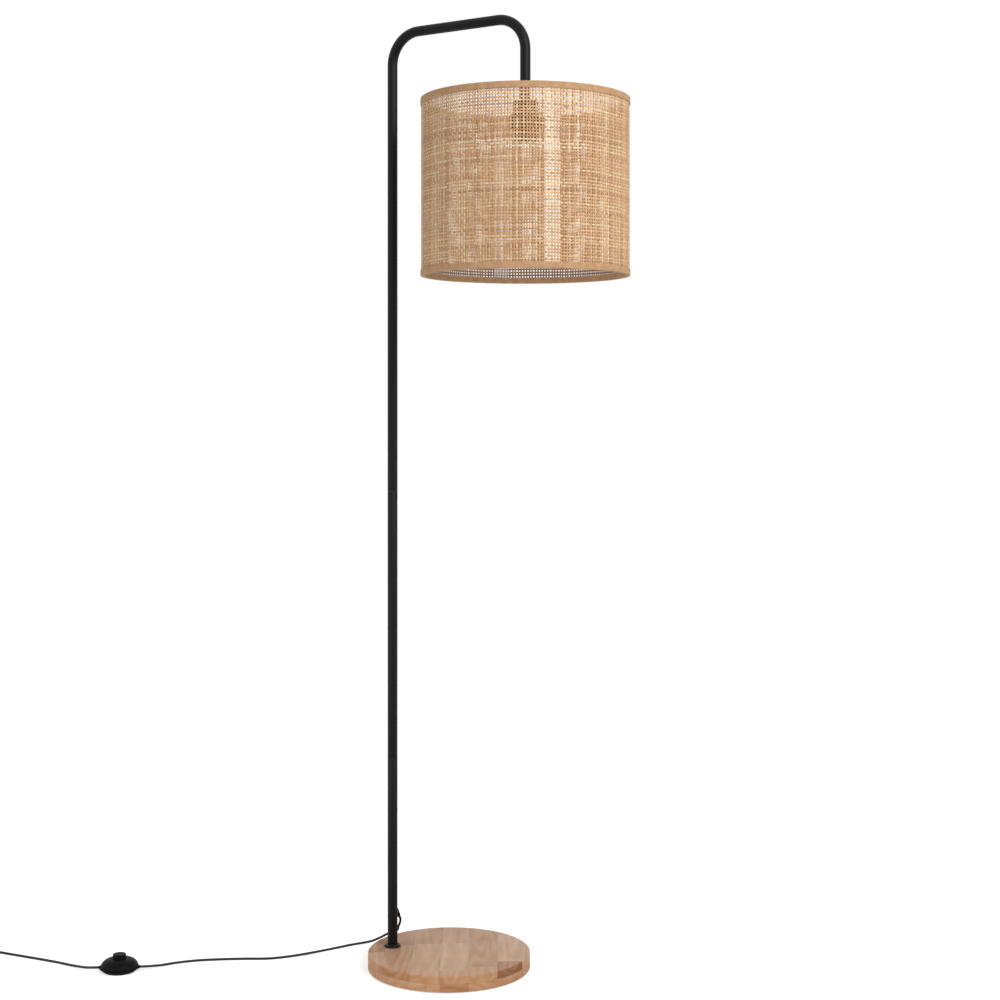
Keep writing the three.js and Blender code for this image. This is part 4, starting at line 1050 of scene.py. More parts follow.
@dataclass
class Studio:
    """The camera, the lights, the pale floor and the white surroundings.

    The camera's place, turn, focal length and horizon were fitted to the lamp's edges in the picture. The
    floor's glow goes from near_lift to far_lift between the two distances of fade, and its mirrored glow
    starts between the two distances of behind, which count away from the camera.
    """

    eye: Point = (1.57755, -2.34603, 0.88435)
    yaw: float = math.radians(32.274)
    focal: float = 1.77215
    sensor: float = 36.0
    horizon: float = 0.413064
    surround: float = 0.44
    near_lift: float = 0.5
    far_lift: float = 0.6
    fade: tuple[float, float] = (0.6, 2.6)
    behind: tuple[float, float] = (-0.9, 1.3)
    paper: str = "F4F4F3"
    floor_size: float = 24.0
    softboxes: tuple[Softbox, ...] = (
        Softbox("key_softbox", (1.9, 2.6, 2.7), 1.5, 70, (0.05, 0, 0.85)),
        Softbox("low_softbox", (-1.1, 0.8, 0.4), 0.5, 3, (0, 0, 0)),
    )

    def build(self) -> None:
        """Makes the camera, world, floor and lights."""
        data = bpy.data.cameras.new("camera")
        data.sensor_width = self.sensor
        data.lens = self.focal * self.sensor
        data.shift_y = self.horizon - 0.5
        data.clip_end = 60
        camera = bpy.data.objects.new("camera", data)
        camera.location = self.eye
        camera.rotation_euler = (math.pi / 2, 0, self.yaw)
        bpy.context.scene.collection.objects.link(camera)
        bpy.context.scene.camera = camera
        bpy.context.scene.view_settings.view_transform = "Standard"
        self.world()
        self.floor()
        for softbox in self.softboxes:
            self.hang(softbox)

    def world(self) -> None:
        """Surrounds the lamp with even light that the camera and reflections see as white."""
        world = bpy.data.worlds.new("white_cove")
        bpy.context.scene.world = world
        world.use_nodes = True
        tree = world.node_tree
        tree.nodes.clear()
        strength = add_node(
            tree, "MapRange", inputs={"Value": self.seen(tree), "To Min": self.surround, "To Max": 1.0},
        )
        backdrop = add_node(tree, "Background", inputs={"Color": WHITE, "Strength": strength})
        add_node(tree, "OutputWorld", inputs={"Surface": backdrop})

    def seen(self, tree: NodeTree, share: NodeSocket | float = 1.0) -> NodeSocket:
        """A socket that is 1 for what the camera sees directly, and a share in glossy or clear surfaces.

        Args:
            tree: The node tree.
            share: The share that counts in a reflection or through a surface.

        Returns:
            The socket.
        """
        path = add_node(tree, "LightPath")
        other = add_node(
            tree, "Math", {"operation": "MAXIMUM"},
            {0: path.outputs["Is Glossy Ray"], 1: path.outputs["Is Transmission Ray"]},
        )
        part = add_node(tree, "Math", {"operation": "MULTIPLY"}, {0: other, 1: share})
        return add_node(
            tree, "Math", {"operation": "MAXIMUM"}, {0: path.outputs["Is Camera Ray"], 1: part},
        ).outputs[0]

    def floor(self) -> None:
        """Lays the pale floor, which keeps the lamp's soft shadow and fades to white away from it.

        Black parts mirror the white floor behind the lamp, and a dimmer floor on the camera's side.
        """
        bm = bmesh.new()
        bmesh.ops.create_grid(bm, x_segments=1, y_segments=1, size=self.floor_size / 2)
        mesh = bpy.data.meshes.new("studio_floor")
        bm.to_mesh(mesh)
        bm.free()
        floor = bpy.data.objects.new("studio_floor", mesh)
        bpy.context.scene.collection.objects.link(floor)
        material = bpy.data.materials.new("pale_seamless_paper")
        material.use_nodes = True
        tree = material.node_tree
        tree.nodes.clear()
        paper = add_node(tree, "BsdfDiffuse", inputs={"Color": linear(self.paper), "Roughness": 0.5})
        place = add_node(tree, "TexCoord").outputs["Object"]
        distance = add_node(tree, "VectorMath", {"operation": "LENGTH"}, {0: place})
        fade = add_node(
            tree, "MapRange", {"interpolation_type": "SMOOTHSTEP"},
            {
                "Value": distance.outputs["Value"], "From Min": self.fade[0], "From Max": self.fade[1],
                "To Min": self.near_lift, "To Max": self.far_lift,
            },
        )
        away = add_node(
            tree, "VectorMath", {"operation": "DOT_PRODUCT"},
            {0: place, 1: (-math.sin(self.yaw), math.cos(self.yaw), 0)},
        )
        behind = add_node(
            tree, "MapRange", {"interpolation_type": "SMOOTHSTEP"},
            {
                "Value": away.outputs["Value"], "From Min": self.behind[0], "From Max": self.behind[1],
                "To Min": 0.0, "To Max": 1.0,
            },
        )
        lift = add_node(
            tree, "Math", {"operation": "MULTIPLY"},
            {0: self.seen(tree, behind.outputs["Result"]), 1: fade.outputs["Result"]},
        )
        glow = add_node(tree, "Emission", inputs={"Color": WHITE, "Strength": lift})
        both = add_node(tree, "AddShader", inputs={0: paper, 1: glow})
        add_node(tree, "OutputMaterial", inputs={"Surface": both})
        mesh.materials.append(material)

    def hang(self, softbox: Softbox) -> None:
        """Hangs a softbox where it faces its point of the lamp."""
        data = bpy.data.lights.new(softbox.name, "AREA")
        data.size = softbox.size
        data.energy = softbox.power
        light = bpy.data.objects.new(softbox.name, data)
        right = Vector((math.cos(self.yaw), math.sin(self.yaw), 0))
        away = Vector((-math.sin(self.yaw), math.cos(self.yaw), 0))
        sideways, nearer, up = softbox.place
        light.location = right * sideways - away * nearer + Vector((0, 0, up))
        aim = Vector(softbox.target) - light.location
        light.rotation_euler = aim.to_track_quat("-Z", "Y").to_euler()
        bpy.context.scene.collection.objects.link(light)


@dataclass
class FootSwitch:
    """The foot switch in the lead, turned and placed on the floor."""

    place: tuple[float, float] = (-0.4324, -0.293)
    turn: float = math.radians(36)
    radius: float = 31 * MM
    foot: float = 24 * MM
    ledge: float = 1.2 * MM
    split: float = 6.35 * MM
    shoulder: float = 20.5 * MM
    wall: float = 1.8 * MM
    screw_hole: float = 2.9 * MM
    screw_offset: float = 20 * MM
    button: float = 10.4 * MM
    button_top: float = 27.5 * MM
    button_room: float = 0.5 * MM
    flange: float = 12.4 * MM
    flange_thickness: float = 2 * MM
    stem: float = 3.5 * MM
    stem_length: float = 3.1 * MM
    travel: float = 4.2 * MM
    block_height: float = 4.9 * MM
    spring_radius: float = 8.5 * MM
    spring_wire: float = 0.5 * MM
    sleeve_radius: float = 3 * MM
    sleeve_flange: float = 3.6 * MM
    sleeve_hole: float = 3.3 * MM
    sleeve_start: float = 19.6 * MM
    sleeve_stop: float = 23 * MM
    sleeve_end: float = 33 * MM
    sleeve_inset: float = 1.3 * MM

    def matrix(self) -> Matrix:
        """Its place on the floor as a matrix."""
        return Matrix.Translation((*self.place, 0)) @ Matrix.Rotation(self.turn, 4, "Z")

    def mouth(self, side: int, distance: float) -> Vector:
        """A point in its line beyond a sleeve's mouth.

        Args:
            side: 1 for the lamp's side and -1 for the plug's.
            distance: How far beyond the mouth.

        Returns:
            The point in the part's frame.
        """
        return self.matrix() @ Vector((side * (self.sleeve_end + distance), 0, self.split))

    def build(self) -> list[Object]:
        """Makes the shells, the button and the sleeves.

        Returns:
            The new pieces; the part's nodes that stay are dressed, not returned.
        """
        pieces = [self.lower_shell(), self.upper_shell(), self.push_button(), self.spring()]
        pieces += [self.sleeve("switch_sleeve_lamp_side", 1), self.sleeve("switch_sleeve_plug_side", -1)]
        dress(ZINC, "switch_screw_1", "switch_screw_2")
        dress(BRASS, "fixed_contact_1", "fixed_contact_2", "contact_bridge")
        dress(MOULDING, "contact_block")
        return pieces

    def arch(self, outer: float, rim: float, crown: float) -> list[tuple[float, float]]:
        """Points of the dome's quarter ellipse in a profile.

        Args:
            outer: Radius at the rim.
            rim: Height of the rim.
            crown: Height over the button's flange.

        Returns:
            Points from the rim to the crown.
        """
        steps = 10
        angles = [math.pi / 2 * i / steps for i in range(steps + 1)]
        across, up = outer - self.flange, crown - rim
        return [(self.flange + across * math.cos(a), rim + up * math.sin(a)) for a in angles]

    def lower_shell(self) -> Object:
        """The tapered bowl on the floor, which stands out a little under the dome as a ledge."""
        rim = self.split - SEAT_GAP / 2
        profile = [
            (0, 0), (self.foot, 0), (self.radius, rim - self.ledge / 2),
            (self.radius - self.ledge / 2, rim), (self.radius - self.ledge - self.wall, rim),
            (self.foot - self.wall, self.wall), (0, self.wall),
        ]
        shape = Shape.turned(profile, 96, {1: 0.8 * MM, 2: 0.25 * MM, 3: 0.2 * MM})
        below, above = -1 * MM, 2.2 * MM
        holes = [
            Shape.rod(self.screw_hole, below, above, 24).moved(0, side * self.screw_offset, 0)
            for side in (-1, 1)
        ]
        shape = shape.cut_by(*holes, *self.sleeve_holes())
        piece = shape.placed(self.matrix()).mesh_object("switch_bowl")
        return finished(piece, Body.STAND, MOULDING, ["switch_lower_shell"])

    def sleeve_holes(self) -> list[Shape]:
        """The two holes that the sleeves sit in."""
        return [
            Shape.rod(self.sleeve_hole, self.sleeve_stop, self.sleeve_end, 32).placed(self.sideways(side))
            for side in (-1, 1)
        ]

    def sideways(self, side: int) -> Matrix:
        """Lays a shape turned about Z along the switch's line, on one side."""
        return Matrix.Translation((0, 0, self.split)) @ Matrix.Rotation(side * math.pi / 2, 4, "Y")

    def upper_shell(self) -> Object:
        """The dome with the button's hole and its rounded lip."""
        rim = self.split + SEAT_GAP / 2
        outer = self.radius - self.ledge
        outside = self.arch(outer, rim, self.shoulder)
        roof = self.shoulder - self.wall
        inside = self.arch(outer - self.wall, rim, roof)
        hole = self.button + self.button_room
        profile = [*outside, (hole, self.shoulder), (hole, roof), *reversed(inside)]
        shape = Shape.turned(profile, 96, {len(outside): 0.5 * MM})
        shape = shape.cut_by(*self.sleeve_holes())
        piece = shape.placed(self.matrix()).mesh_object("switch_dome")
        return finished(piece, Body.STAND, MOULDING, ["switch_upper_shell"])

    def push_button(self) -> Object:
        """The button with a dished top, its flange and its stem."""
        flange_top = self.shoulder - self.wall - SEAT_GAP
        flange_bottom = flange_top - self.flange_thickness
        low = flange_bottom - self.stem_length
        top = self.button_top
        profile = [
            (0, low), (self.stem, low), (self.stem, flange_bottom), (self.flange, flange_bottom),
            (self.flange, flange_top), (self.button, flange_top), (self.button, top),
            (self.button - 2.2 * MM, top), (self.button - 4.4 * MM, top - 0.7 * MM), (0, top - 1.1 * MM),
        ]
        shape = Shape.turned(profile, 72, {6: 1.2 * MM})
        piece = shape.placed(self.matrix()).mesh_object("switch_push_button")
        return finished(piece, Body.BUTTON, MOULDING, ["switch_button"])

    def spring(self) -> Object:
        """The wire spring under the button, which the button squashes."""
        wire = self.spring_wire
        curls = 3
        steps = 24 * curls
        low = self.wall + SEAT_GAP + self.block_height + SEAT_GAP + wire
        high = self.shoulder - self.wall - SEAT_GAP - self.flange_thickness - SEAT_GAP - wire
        shape = Shape()
        bmesh.ops.create_circle(shape.bm, cap_ends=True, segments=10, radius=wire)
        start = Matrix.Translation((self.spring_radius, 0, low))
        shape.placed(start @ Matrix.Rotation(math.pi / 2, 4, "X"))
        shape.spun(shape.bm.faces[:], FULL_TURN * curls, steps, climb=(high - low) / steps)
        shape.mended().placed(self.matrix())
        piece = finished(shape.mesh_object("button_spring_wire"), Body.STAND, ZINC, ["button_spring"])
        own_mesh(piece)
        return piece

    def sleeve(self, node: str, side: int) -> Object:
        """One sleeve round the lead, with a stop inside the shells and a rounded mouth flush with them.

        Args:
            node: The part's node that it stands for.
            side: 1 for the lamp's side and -1 for the plug's.

        Returns:
            The piece.
        """
        bore = LEAD_RADIUS + LEAD_ROOM
        mouth = self.sleeve_end - self.sleeve_inset
        profile = [
            (bore, self.sleeve_start), (self.sleeve_flange, self.sleeve_start),
            (self.sleeve_flange, self.sleeve_stop), (self.sleeve_radius, self.sleeve_stop),
            (self.sleeve_radius, mouth), (bore, mouth),
        ]
        shape = Shape.turned(profile, 40, {4: 0.5 * MM}).placed(self.matrix() @ self.sideways(side))
        piece = shape.mesh_object(f"{node}_grommet")
        return finished(piece, Body.STAND, MOULDING, [node])


@dataclass
class MainsLead:
    """The lead from the pole to the plug, with its coil and tie.

    The routes between the two straight ends are in millimetres, and so are the straight points themselves,
    as distances beyond a mouth, before the coil or into the plug.
    """

    switch: FootSwitch
    exit_height: float = 92 * MM
    exit_turn: float = math.radians(95.3)
    exit_tilt: float = math.radians(45)
    bushing_reach: float = 28 * MM
    bushing_foot: float = 5 * MM
    bushing_head: float = 5.5 * MM
    bushing_neck: float = 14 * MM
    bushing_ribs: int = 6
    bushing_radius: float = 5.3 * MM
    bushing_taper: float = 2.2 * MM
    bushing_lip: float = 0.8 * MM
    coil_inner: float = 16.1 * MM
    coil_pitch: float = 4.5 * MM
    coil_turns: int = 7
    coil_level: float = 3.1 * MM
    coil_tail: float = 20 * MM
    coil_climb: float = 0.5
    strap: float = 7 * MM
    strap_room: float = 2.9 * MM
    strap_level: tuple[float, float] = (0.45 * MM, 10.55 * MM)
    strap_corner: float = 2.2 * MM
    strap_thickness: float = 0.4 * MM
    from_bushing: tuple[float, ...] = (-6, 0.3, 4.3)
    from_sleeve: tuple[float, ...] = (-26, 0.3, 4.3)
    before_coil: tuple[float, ...] = (8.3, 4.3)
    into_plug: tuple[float, ...] = (-4, 0, 12)
    approach: tuple[float, float] = (-0.6917, -0.3354)
    heading_turn: float = math.radians(187)
    plug_level: float = 7 * MM
    to_switch: tuple[Point, ...] = (
        (-92.1, -4.3, 63.5), (-95.6, -1.8, 56.5), (-99.4, 0, 50), (-101.9, 2, 45),
        (-106.2, 1.6, 41.2), (-112.7, -0.2, 38.6), (-118.6, -2.1, 36.4), (-129.6, -9.6, 29.8),
        (-140.3, -17, 24.6), (-154, -24, 21), (-169.5, -31.8, 17.7), (-186, -41.5, 13.5),
        (-202.8, -52.3, 9.5), (-219, -62.6, 5.8), (-234.5, -75.8, 3), (-250.8, -99, 2.15),
        (-270, -122.4, 2.15), (-302.8, -144.6, 2.15), (-333.2, -167.4, 2.15), (-361.7, -193, 2.15),
        (-383, -222, 2.15), (-388, -240.5, 3.4), (-392.2, -257.5, 5.6),
    )
    to_coil: tuple[Point, ...] = (
        (-477.7, -321.6, 5.6), (-495.7, -320.2, 4), (-516.7, -318.6, 2.5), (-538.5, -318.3, 2.15),
        (-579.4, -322, 2.15), (-620.8, -326.6, 2.15), (-661.9, -331.7, 2.4),
    )

    @property
    def heading(self) -> Vector:
        """The way the lead runs into the coil and out of it."""
        return Vector((math.cos(self.heading_turn), math.sin(self.heading_turn), 0))

    @property
    def coil_outer(self) -> float:
        """Radius of the coil's first and last turn."""
        return self.coil_inner + self.coil_pitch * self.coil_turns / 2

    @property
    def coil_centre(self) -> Vector:
        """The coil's middle on the floor."""
        sideways = Vector((-self.heading.y, self.heading.x, 0))
        return Vector((*self.approach, 0)) + sideways * self.coil_outer

    def exit_matrix(self) -> Matrix:
        """Lays a shape turned about Z along the lead's way out of the pole."""
        lift = Matrix.Translation(POLE + Vector((0, 0, self.exit_height)))
        turn = Matrix.Rotation(self.exit_turn, 4, "Z")
        return lift @ turn @ Matrix.Rotation(math.pi / 2 + self.exit_tilt, 4, "Y")

    def leaving(self, reach: float) -> Vector:
        """A point on the lead's way out, at a distance from the pole's axis."""
        return self.exit_matrix() @ Vector((0, 0, reach))

    def coil_points(self, steps: int = 36) -> list[Vector]:
        """The coil's centreline: in to the middle, up a layer and out again, and its tail.

        Args:
            steps: Points in each turn.

        Returns:
            The points.
        """
        half = self.coil_turns / 2
        start = self.heading_turn - math.pi / 2
        points = []
        for i in range(self.coil_turns * steps + 1):
            turn = i / steps
            radius = self.coil_inner + self.coil_pitch * abs(half - turn)
            share = min(max((turn - half + self.coil_climb / 2) / self.coil_climb, 0.0), 1.0)
            climb = share * share * (3 - 2 * share)
            angle = start + FULL_TURN * turn
            spot = Vector((radius * math.cos(angle), radius * math.sin(angle), 0))
            points.append(self.coil_centre + spot + Vector((0, 0, self.coil_level + self.coil_pitch * climb)))
        return points

    def plug_place(self) -> Vector:
        """Where the lead enters the plug."""
        end = self.coil_points()[-1] + self.heading * self.coil_tail
        end.z = self.plug_level
        return end

    def build(self) -> None:
        switch_pieces = self.switch.build()
        first = self.pole_stretch()
        round(route_length(self.first_route()), 2)
        plug_pieces = Plug(self.plug_place() + self.heading * SEAT_GAP, self.heading_turn).build()
        second = self.plug_stretch()
        self.switch.mouth(-1, 0)
        round(route_length(self.second_route()), 2)
        self.tie()
        dress(SHEATH, "inner_lead")

    def first_route(self) -> list[Vector]:
        """The centreline from the pole to inside the foot switch."""
        straight = [self.leaving(self.bushing_reach + d * MM) for d in self.from_bushing]
        into = [self.switch.mouth(1, d * MM) for d in reversed(self.from_sleeve)]
        return smooth_route([*straight, *[Vector(p) * MM for p in self.to_switch], *into], ROUTE_SPACING)

    def second_route(self) -> list[Vector]:
        """The centreline from inside the foot switch, through the coil, to inside the plug."""
        out = [self.switch.mouth(-1, d * MM) for d in self.from_sleeve]
        entry = Vector((*self.approach, self.coil_level))
        into = [entry - self.heading * (d * MM) for d in self.before_coil]
        free = smooth_route([*out, *[Vector(p) * MM for p in self.to_coil], *into], ROUTE_SPACING)
        coil = self.coil_points()
        tail = [self.plug_place() + self.heading * (d * MM) for d in self.into_plug]
        return [*free, *coil, *smooth_route([coil[-1], *tail], ROUTE_SPACING)[1:]]

    def pole_stretch(self) -> Object:
        """The lead from the pole to the foot switch."""
        piece = lead_curve("lead_pole_to_switch", self.first_route())
        return finished(piece, Body.STAND, SHEATH, ["cord_pole_to_switch", "switch_lead_lamp_side"])

    def plug_stretch(self) -> Object:
        """The lead from the foot switch through the coil to the plug."""
        piece = lead_curve("lead_switch_to_plug", self.second_route())
        replaced = ["cord_switch_to_coil", "cord_coil", "switch_lead_plug_side"]
        return finished(piece, Body.STAND, SHEATH, replaced)

    def tie(self) -> Object:
        """The flat strap round the coil."""
        near, far = self.coil_inner - self.strap_room, self.coil_outer + self.strap_room
        low, high = self.strap_level
        side = -self.strap / 2
        shape = Shape()
        corners = shape.line([(near, side, low), (far, side, low), (far, side, high), (near, side, high)])
        shape.soften(corners, self.strap_corner, 5)
        shape.drawn(shape.bm.edges[:], (0, self.strap, 0))
        bmesh.ops.recalc_face_normals(shape.bm, faces=shape.bm.faces[:])
        bmesh.ops.solidify(shape.bm, geom=shape.bm.faces[:], thickness=self.strap_thickness)
        turn = Matrix.Rotation(self.heading_turn, 4, "Z")
        shape.mended().placed(Matrix.Translation(self.coil_centre) @ turn)
        return finished(shape.mesh_object("coil_strap"), Body.STAND, MOULDING, ["coil_tie"])

    def bushing(self) -> Object:
        """The tapered, ribbed bushing that the lead leaves the pole through."""
        head, foot, start, reach = self.bushing_head, self.bushing_foot, self.bushing_neck, self.bushing_reach
        ribs = self.bushing_ribs
        radii = [self.bushing_radius - self.bushing_taper * (i + 0.3) / ribs for i in range(ribs)]
        rib = ((0, 0.1), (0.15 * MM, 0.66), (0.85 * MM, 0.72), (0.85 * MM, 1.0))
        profile = [(0, foot), (head, foot), (head, start)]
        profile += rib_profile(radii, start, (reach - start) / ribs, rib)
        profile += [(LEAD_RADIUS + self.bushing_lip, reach), (0, reach)]
        shape = Shape.turned(profile, 40).placed(self.exit_matrix())
        tube = Shape.rod(BentPole.radius, 0.05, 0.12, 64)
        shape = shape.cut_by(tube.moved(*POLE))
        return finished(shape.mesh_object("lead_bushing_ribbed"), Body.STAND, MOULDING, ["lead_bushing"])


@dataclass
class Plug:
    """The two-pin plug at the lead's end, lying on the floor."""

    place: Vector
    turn: float
    sleeve: float = 28 * MM
    body: float = 36 * MM
    width: float = 26 * MM
    height: float = 14 * MM
    pin_radius: float = 2 * MM
    pin_spacing: float = 18.6 * MM
    pin_reach: float = 19 * MM
    pin_root: float = 8 * MM
    pin_sheath: float = 10 * MM
    sheath_step: float = 0.1 * MM
    edge: float = 1.9 * MM
    grooves: int = 4
    groove: Point = (1.2 * MM, 13 * MM, 1.0 * MM)
    groove_edge: float = 0.3 * MM
    groove_start: float = 16 * MM
    groove_step: float = 4 * MM
    sleeve_ribs: int = 7
    sleeve_tip: float = 2.9 * MM
    sleeve_taper: float = 2.2 * MM
    sleeve_root: float = 5.1 * MM
    sleeve_overlap: float = 4 * MM

    def matrix(self) -> Matrix:
        """Its place as a matrix; its X runs from the lead to the pins."""
        return Matrix.Translation(self.place) @ Matrix.Rotation(self.turn, 4, "Z")

    def build(self) -> list[Object]:
        """Makes the body with its sleeve, and the pins."""
        return [self.grip(), self.pin("plug_pin_1", -1), self.pin("plug_pin_2", 1)]

    def grip(self) -> Object:
        """The moulded body, waisted towards the lead, with finger grooves and the ribbed sleeve."""
        shape = Shape()
        start, end = self.sleeve, self.sleeve + self.body
        waist = [(start, 0.42), (start + 5 * MM, 0.62), (start + 14 * MM, 0.98)]
        waist += [(end - 2 * MM, 1.0), (end, 0.96)]
        outline = [(x, share * (self.width / 2)) for x, share in waist]
        outline += [(x, -y) for x, y in reversed(outline)]
        level = -self.height / 2
        face = shape.bm.faces.new([shape.bm.verts.new((x, y, level)) for x, y in outline])
        shape.drawn([face], (0, 0, self.height))
        shape.mended().soften(shape.bm.edges[:], self.edge, 4)
        grooves = []
        for i in range(self.grooves):
            along = start + self.groove_start + self.groove_step * i
            for face_side in (-1, 1):
                bar = Shape.block(self.groove, self.groove_edge)
                grooves.append(bar.moved(along, 0, face_side * self.height / 2))
        shape = shape.cut_by(*grooves)
        shape.joined(self.ribbed_sleeve())
        piece = shape.placed(self.matrix()).mesh_object("plug_grip")
        return finished(piece, Body.STAND, MOULDING, ["plug_body"])

    def ribbed_sleeve(self) -> Shape:
        """The tapered sleeve between the lead and the body."""
        bore = LEAD_RADIUS + LEAD_ROOM
        end = self.sleeve + self.sleeve_overlap
        ribs = self.sleeve_ribs
        radii = [self.sleeve_tip + self.sleeve_taper * (i + 0.7) / ribs for i in range(ribs)]
        rib = ((0.1 * MM, 0), (0, 0.62), (0.75 * MM, 0.68), (0.75 * MM, 0.96))
        profile = [(bore, 0), *rib_profile(radii, 0, self.sleeve / ribs, rib)]
        profile += [(self.sleeve_root, self.sleeve), (self.sleeve_root, end), (bore, end)]
        return Shape.turned(profile, 40).placed(Matrix.Rotation(math.pi / 2, 4, "Y"))

    def pin(self, node: str, side: int) -> Object:
        """One pin, sheathed for half its length.

        Args:
            node: The part's node that it stands for.
            side: Which side of the plug's middle it is on.

        Returns:
            The piece.
        """
        end = self.sleeve + self.body
        sheath = end + self.pin_sheath
        tip = end + self.pin_reach
        radius = self.pin_radius
        sheathed = radius - self.sheath_step
        profile = [
            (0, end - self.pin_root), (sheathed, end - self.pin_root), (sheathed, end),
            (sheathed, sheath), (radius, sheath), (radius, tip), (0, tip),
        ]
        shape = Shape.turned(profile, 32, {5: 0.8 * MM})
        for face in shape.bm.faces:
            face.material_index = int(face.calc_center_median().z < sheath)
        aside = Matrix.Translation((0, side * self.pin_spacing / 2, 0))
        shape.placed(self.matrix() @ aside @ Matrix.Rotation(math.pi / 2, 4, "Y"))
        piece = shape.mesh_object(f"{node}_sheathed")
        piece.data.materials.append(BRASS.material())
        piece.data.materials.append(MOULDING.material())
        return finished(piece, Body.STAND, BRASS, [node])


@dataclass
class WoodenBase:
    """The round base of two boards over felt, with the ballast inside it."""

    radius: float = 129 * MM
    felt_top: float = 1.5 * MM
    lower_bottom: float = 1.8 * MM
    board: float = 12.7 * MM
    edge: float = 1.6 * MM
    recess_radius: float = 75.3 * MM
    recess_roof: float = 10.1 * MM
    counterbore: float = 15 * MM
    counterbore_roof: float = 9.8 * MM
    bolt_bore: float = 4.3 * MM
    joint_edge: float = 0.35 * MM
    joint_gap: float = 0.1 * MM
    felt_radius: float = 120 * MM
    segments: int = 160

    def build(self) -> None:
        """Makes the boards and the felt, and dresses the ballast and its screws."""
        low = self.lower_bottom
        top = low + self.board
        profile = [
            (0, self.recess_roof), (self.recess_radius, self.recess_roof), (self.recess_radius, low),
            (self.radius, low), (self.radius, top), (0, top),
        ]
        lower = Shape.turned(profile, self.segments, {3: self.edge, 4: self.joint_edge})
        lower = lower.cut_by(self.bore(self.counterbore, self.counterbore_roof), self.bore(self.bolt_bore))
        finished(lower.mesh_object("base_lower_staves"), Body.STAND, LOWER_WOOD, ["base_lower_board"])
        low = top + self.joint_gap
        top = top + SEAT_GAP + self.board
        edges = {1: self.joint_edge, 2: self.edge}
        upper = Shape.rod(self.radius, low, top, self.segments, edges).cut_by(self.bore(self.bolt_bore))
        finished(upper.mesh_object("base_upper_staves"), Body.STAND, UPPER_WOOD, ["base_upper_board"])
        felt = Shape.rod(self.felt_radius, 0, self.felt_top, self.segments, {2: 0.4 * MM})
        felt = felt.cut_by(self.bore(self.counterbore + SEAT_GAP))
        finished(felt.mesh_object("base_felt_pad"), Body.STAND, FELT, ["base_felt"])
        screws = [f"ballast_screw_{i}" for i in (1, 2, 3)]
        dress(ZINC, "ballast_plate", *screws, "base_bolt", "base_washer", "pole_foot_insert")

    def bore(self, radius: float, roof: float = 0.04) -> Shape:
        """A cutter under the pole.

        Args:
            radius: Its radius.
            roof: Its upper end's height, above the base unless it is told.

        Returns:
            The cutter.
        """
        return Shape.rod(radius, -0.01, roof, 48).moved(*POLE)


@dataclass
class BentPole:
    """The steel tube in three lengths, and the collar on the base."""

    radius: float = 8 * MM
    bore: float = 6.8 * MM
    foot: float = 27.8 * MM
    lower_seam: float = 332.3 * MM
    upper_seam: float = 758.6 * MM
    arm: float = 1492 * MM
    bend: float = 50 * MM
    reach: float = ARM_REACH * MM
    end: float = 1363.3 * MM
    seam_edge: float = 0.35 * MM
    collar_bore: float = 8.2 * MM
    collar_radius: float = 13 * MM

    def build(self) -> None:
        """Makes the tube's lengths and the collar, and dresses what is inside them."""
        self.length("lower_pole", self.foot, self.lower_seam)
        self.length("middle_pole", self.lower_seam + SEAT_GAP, self.upper_seam)
        self.gooseneck()
        self.collar()
        dress(ZINC, "lower_joint_sleeve", "upper_joint_sleeve", "tube_end_bush")

    def length(self, node: str, low: float, high: float) -> Object:
        """One straight length, with its ends' edges broken so that a fine line shows at each seam.

        Args:
            node: The part's node that it stands for.
            low: Its lower end.
            high: Its upper end.

        Returns:
            The piece.
        """
        profile = [(self.bore, low), (self.radius, low), (self.radius, high), (self.bore, high)]
        shape = Shape.turned(profile, 64, {1: self.seam_edge, 2: self.seam_edge}).moved(*POLE)
        return finished(shape.mesh_object(f"{node}_tube"), Body.STAND, POWDER_COAT, [node])

    def gooseneck(self) -> Object:
        """The upper length: up, over in two round bends, along the arm and down to the lampholder."""
        shape = Shape()
        start = self.upper_seam + SEAT_GAP
        height = self.arm - self.bend
        quarter, steps, across = math.pi / 2, 20, (0, 1, 0)
        for radius in (self.radius, self.bore):
            bmesh.ops.create_circle(shape.bm, cap_ends=False, segments=64, radius=radius)
        shape.placed(Matrix.Translation(POLE + Vector((0, 0, start))))
        front = list(shape.bm.edges)
        bmesh.ops.bridge_loops(shape.bm, edges=front)
        front = shape.drawn(front, Vector((0, 0, height - start)))
        front = shape.spun(front, quarter, steps, POLE + Vector((self.bend, 0, height)), across)
        front = shape.drawn(front, Vector((self.reach - 2 * self.bend, 0, 0)))
        front = shape.spun(front, quarter, steps, POLE + Vector((self.reach - self.bend, 0, height)), across)
        front = shape.drawn(front, Vector((0, 0, self.end - height)))
        bmesh.ops.bridge_loops(shape.bm, edges=front)
        shape.mended()
        return finished(shape.mesh_object("gooseneck_tube"), Body.STAND, POWDER_COAT, ["gooseneck"])

    def collar(self) -> Object:
        """The thin collar round the tube's foot, with a rounded rim and a low neck."""
        low = self.foot
        profile = [
            (self.collar_bore, low), (self.collar_radius, low), (self.collar_radius, low + 3.1 * MM),
            (9.4 * MM, low + 3.3 * MM), (9.1 * MM, low + 4 * MM), (self.collar_bore, low + 4 * MM),
        ]
        shape = Shape.turned(profile, 72, {1: 0.6 * MM, 2: 1.2 * MM, 4: 0.4 * MM}).moved(*POLE)
        piece = shape.mesh_object("pole_collar_disc")
        return finished(piece, Body.STAND, POWDER_COAT, ["pole_collar"])


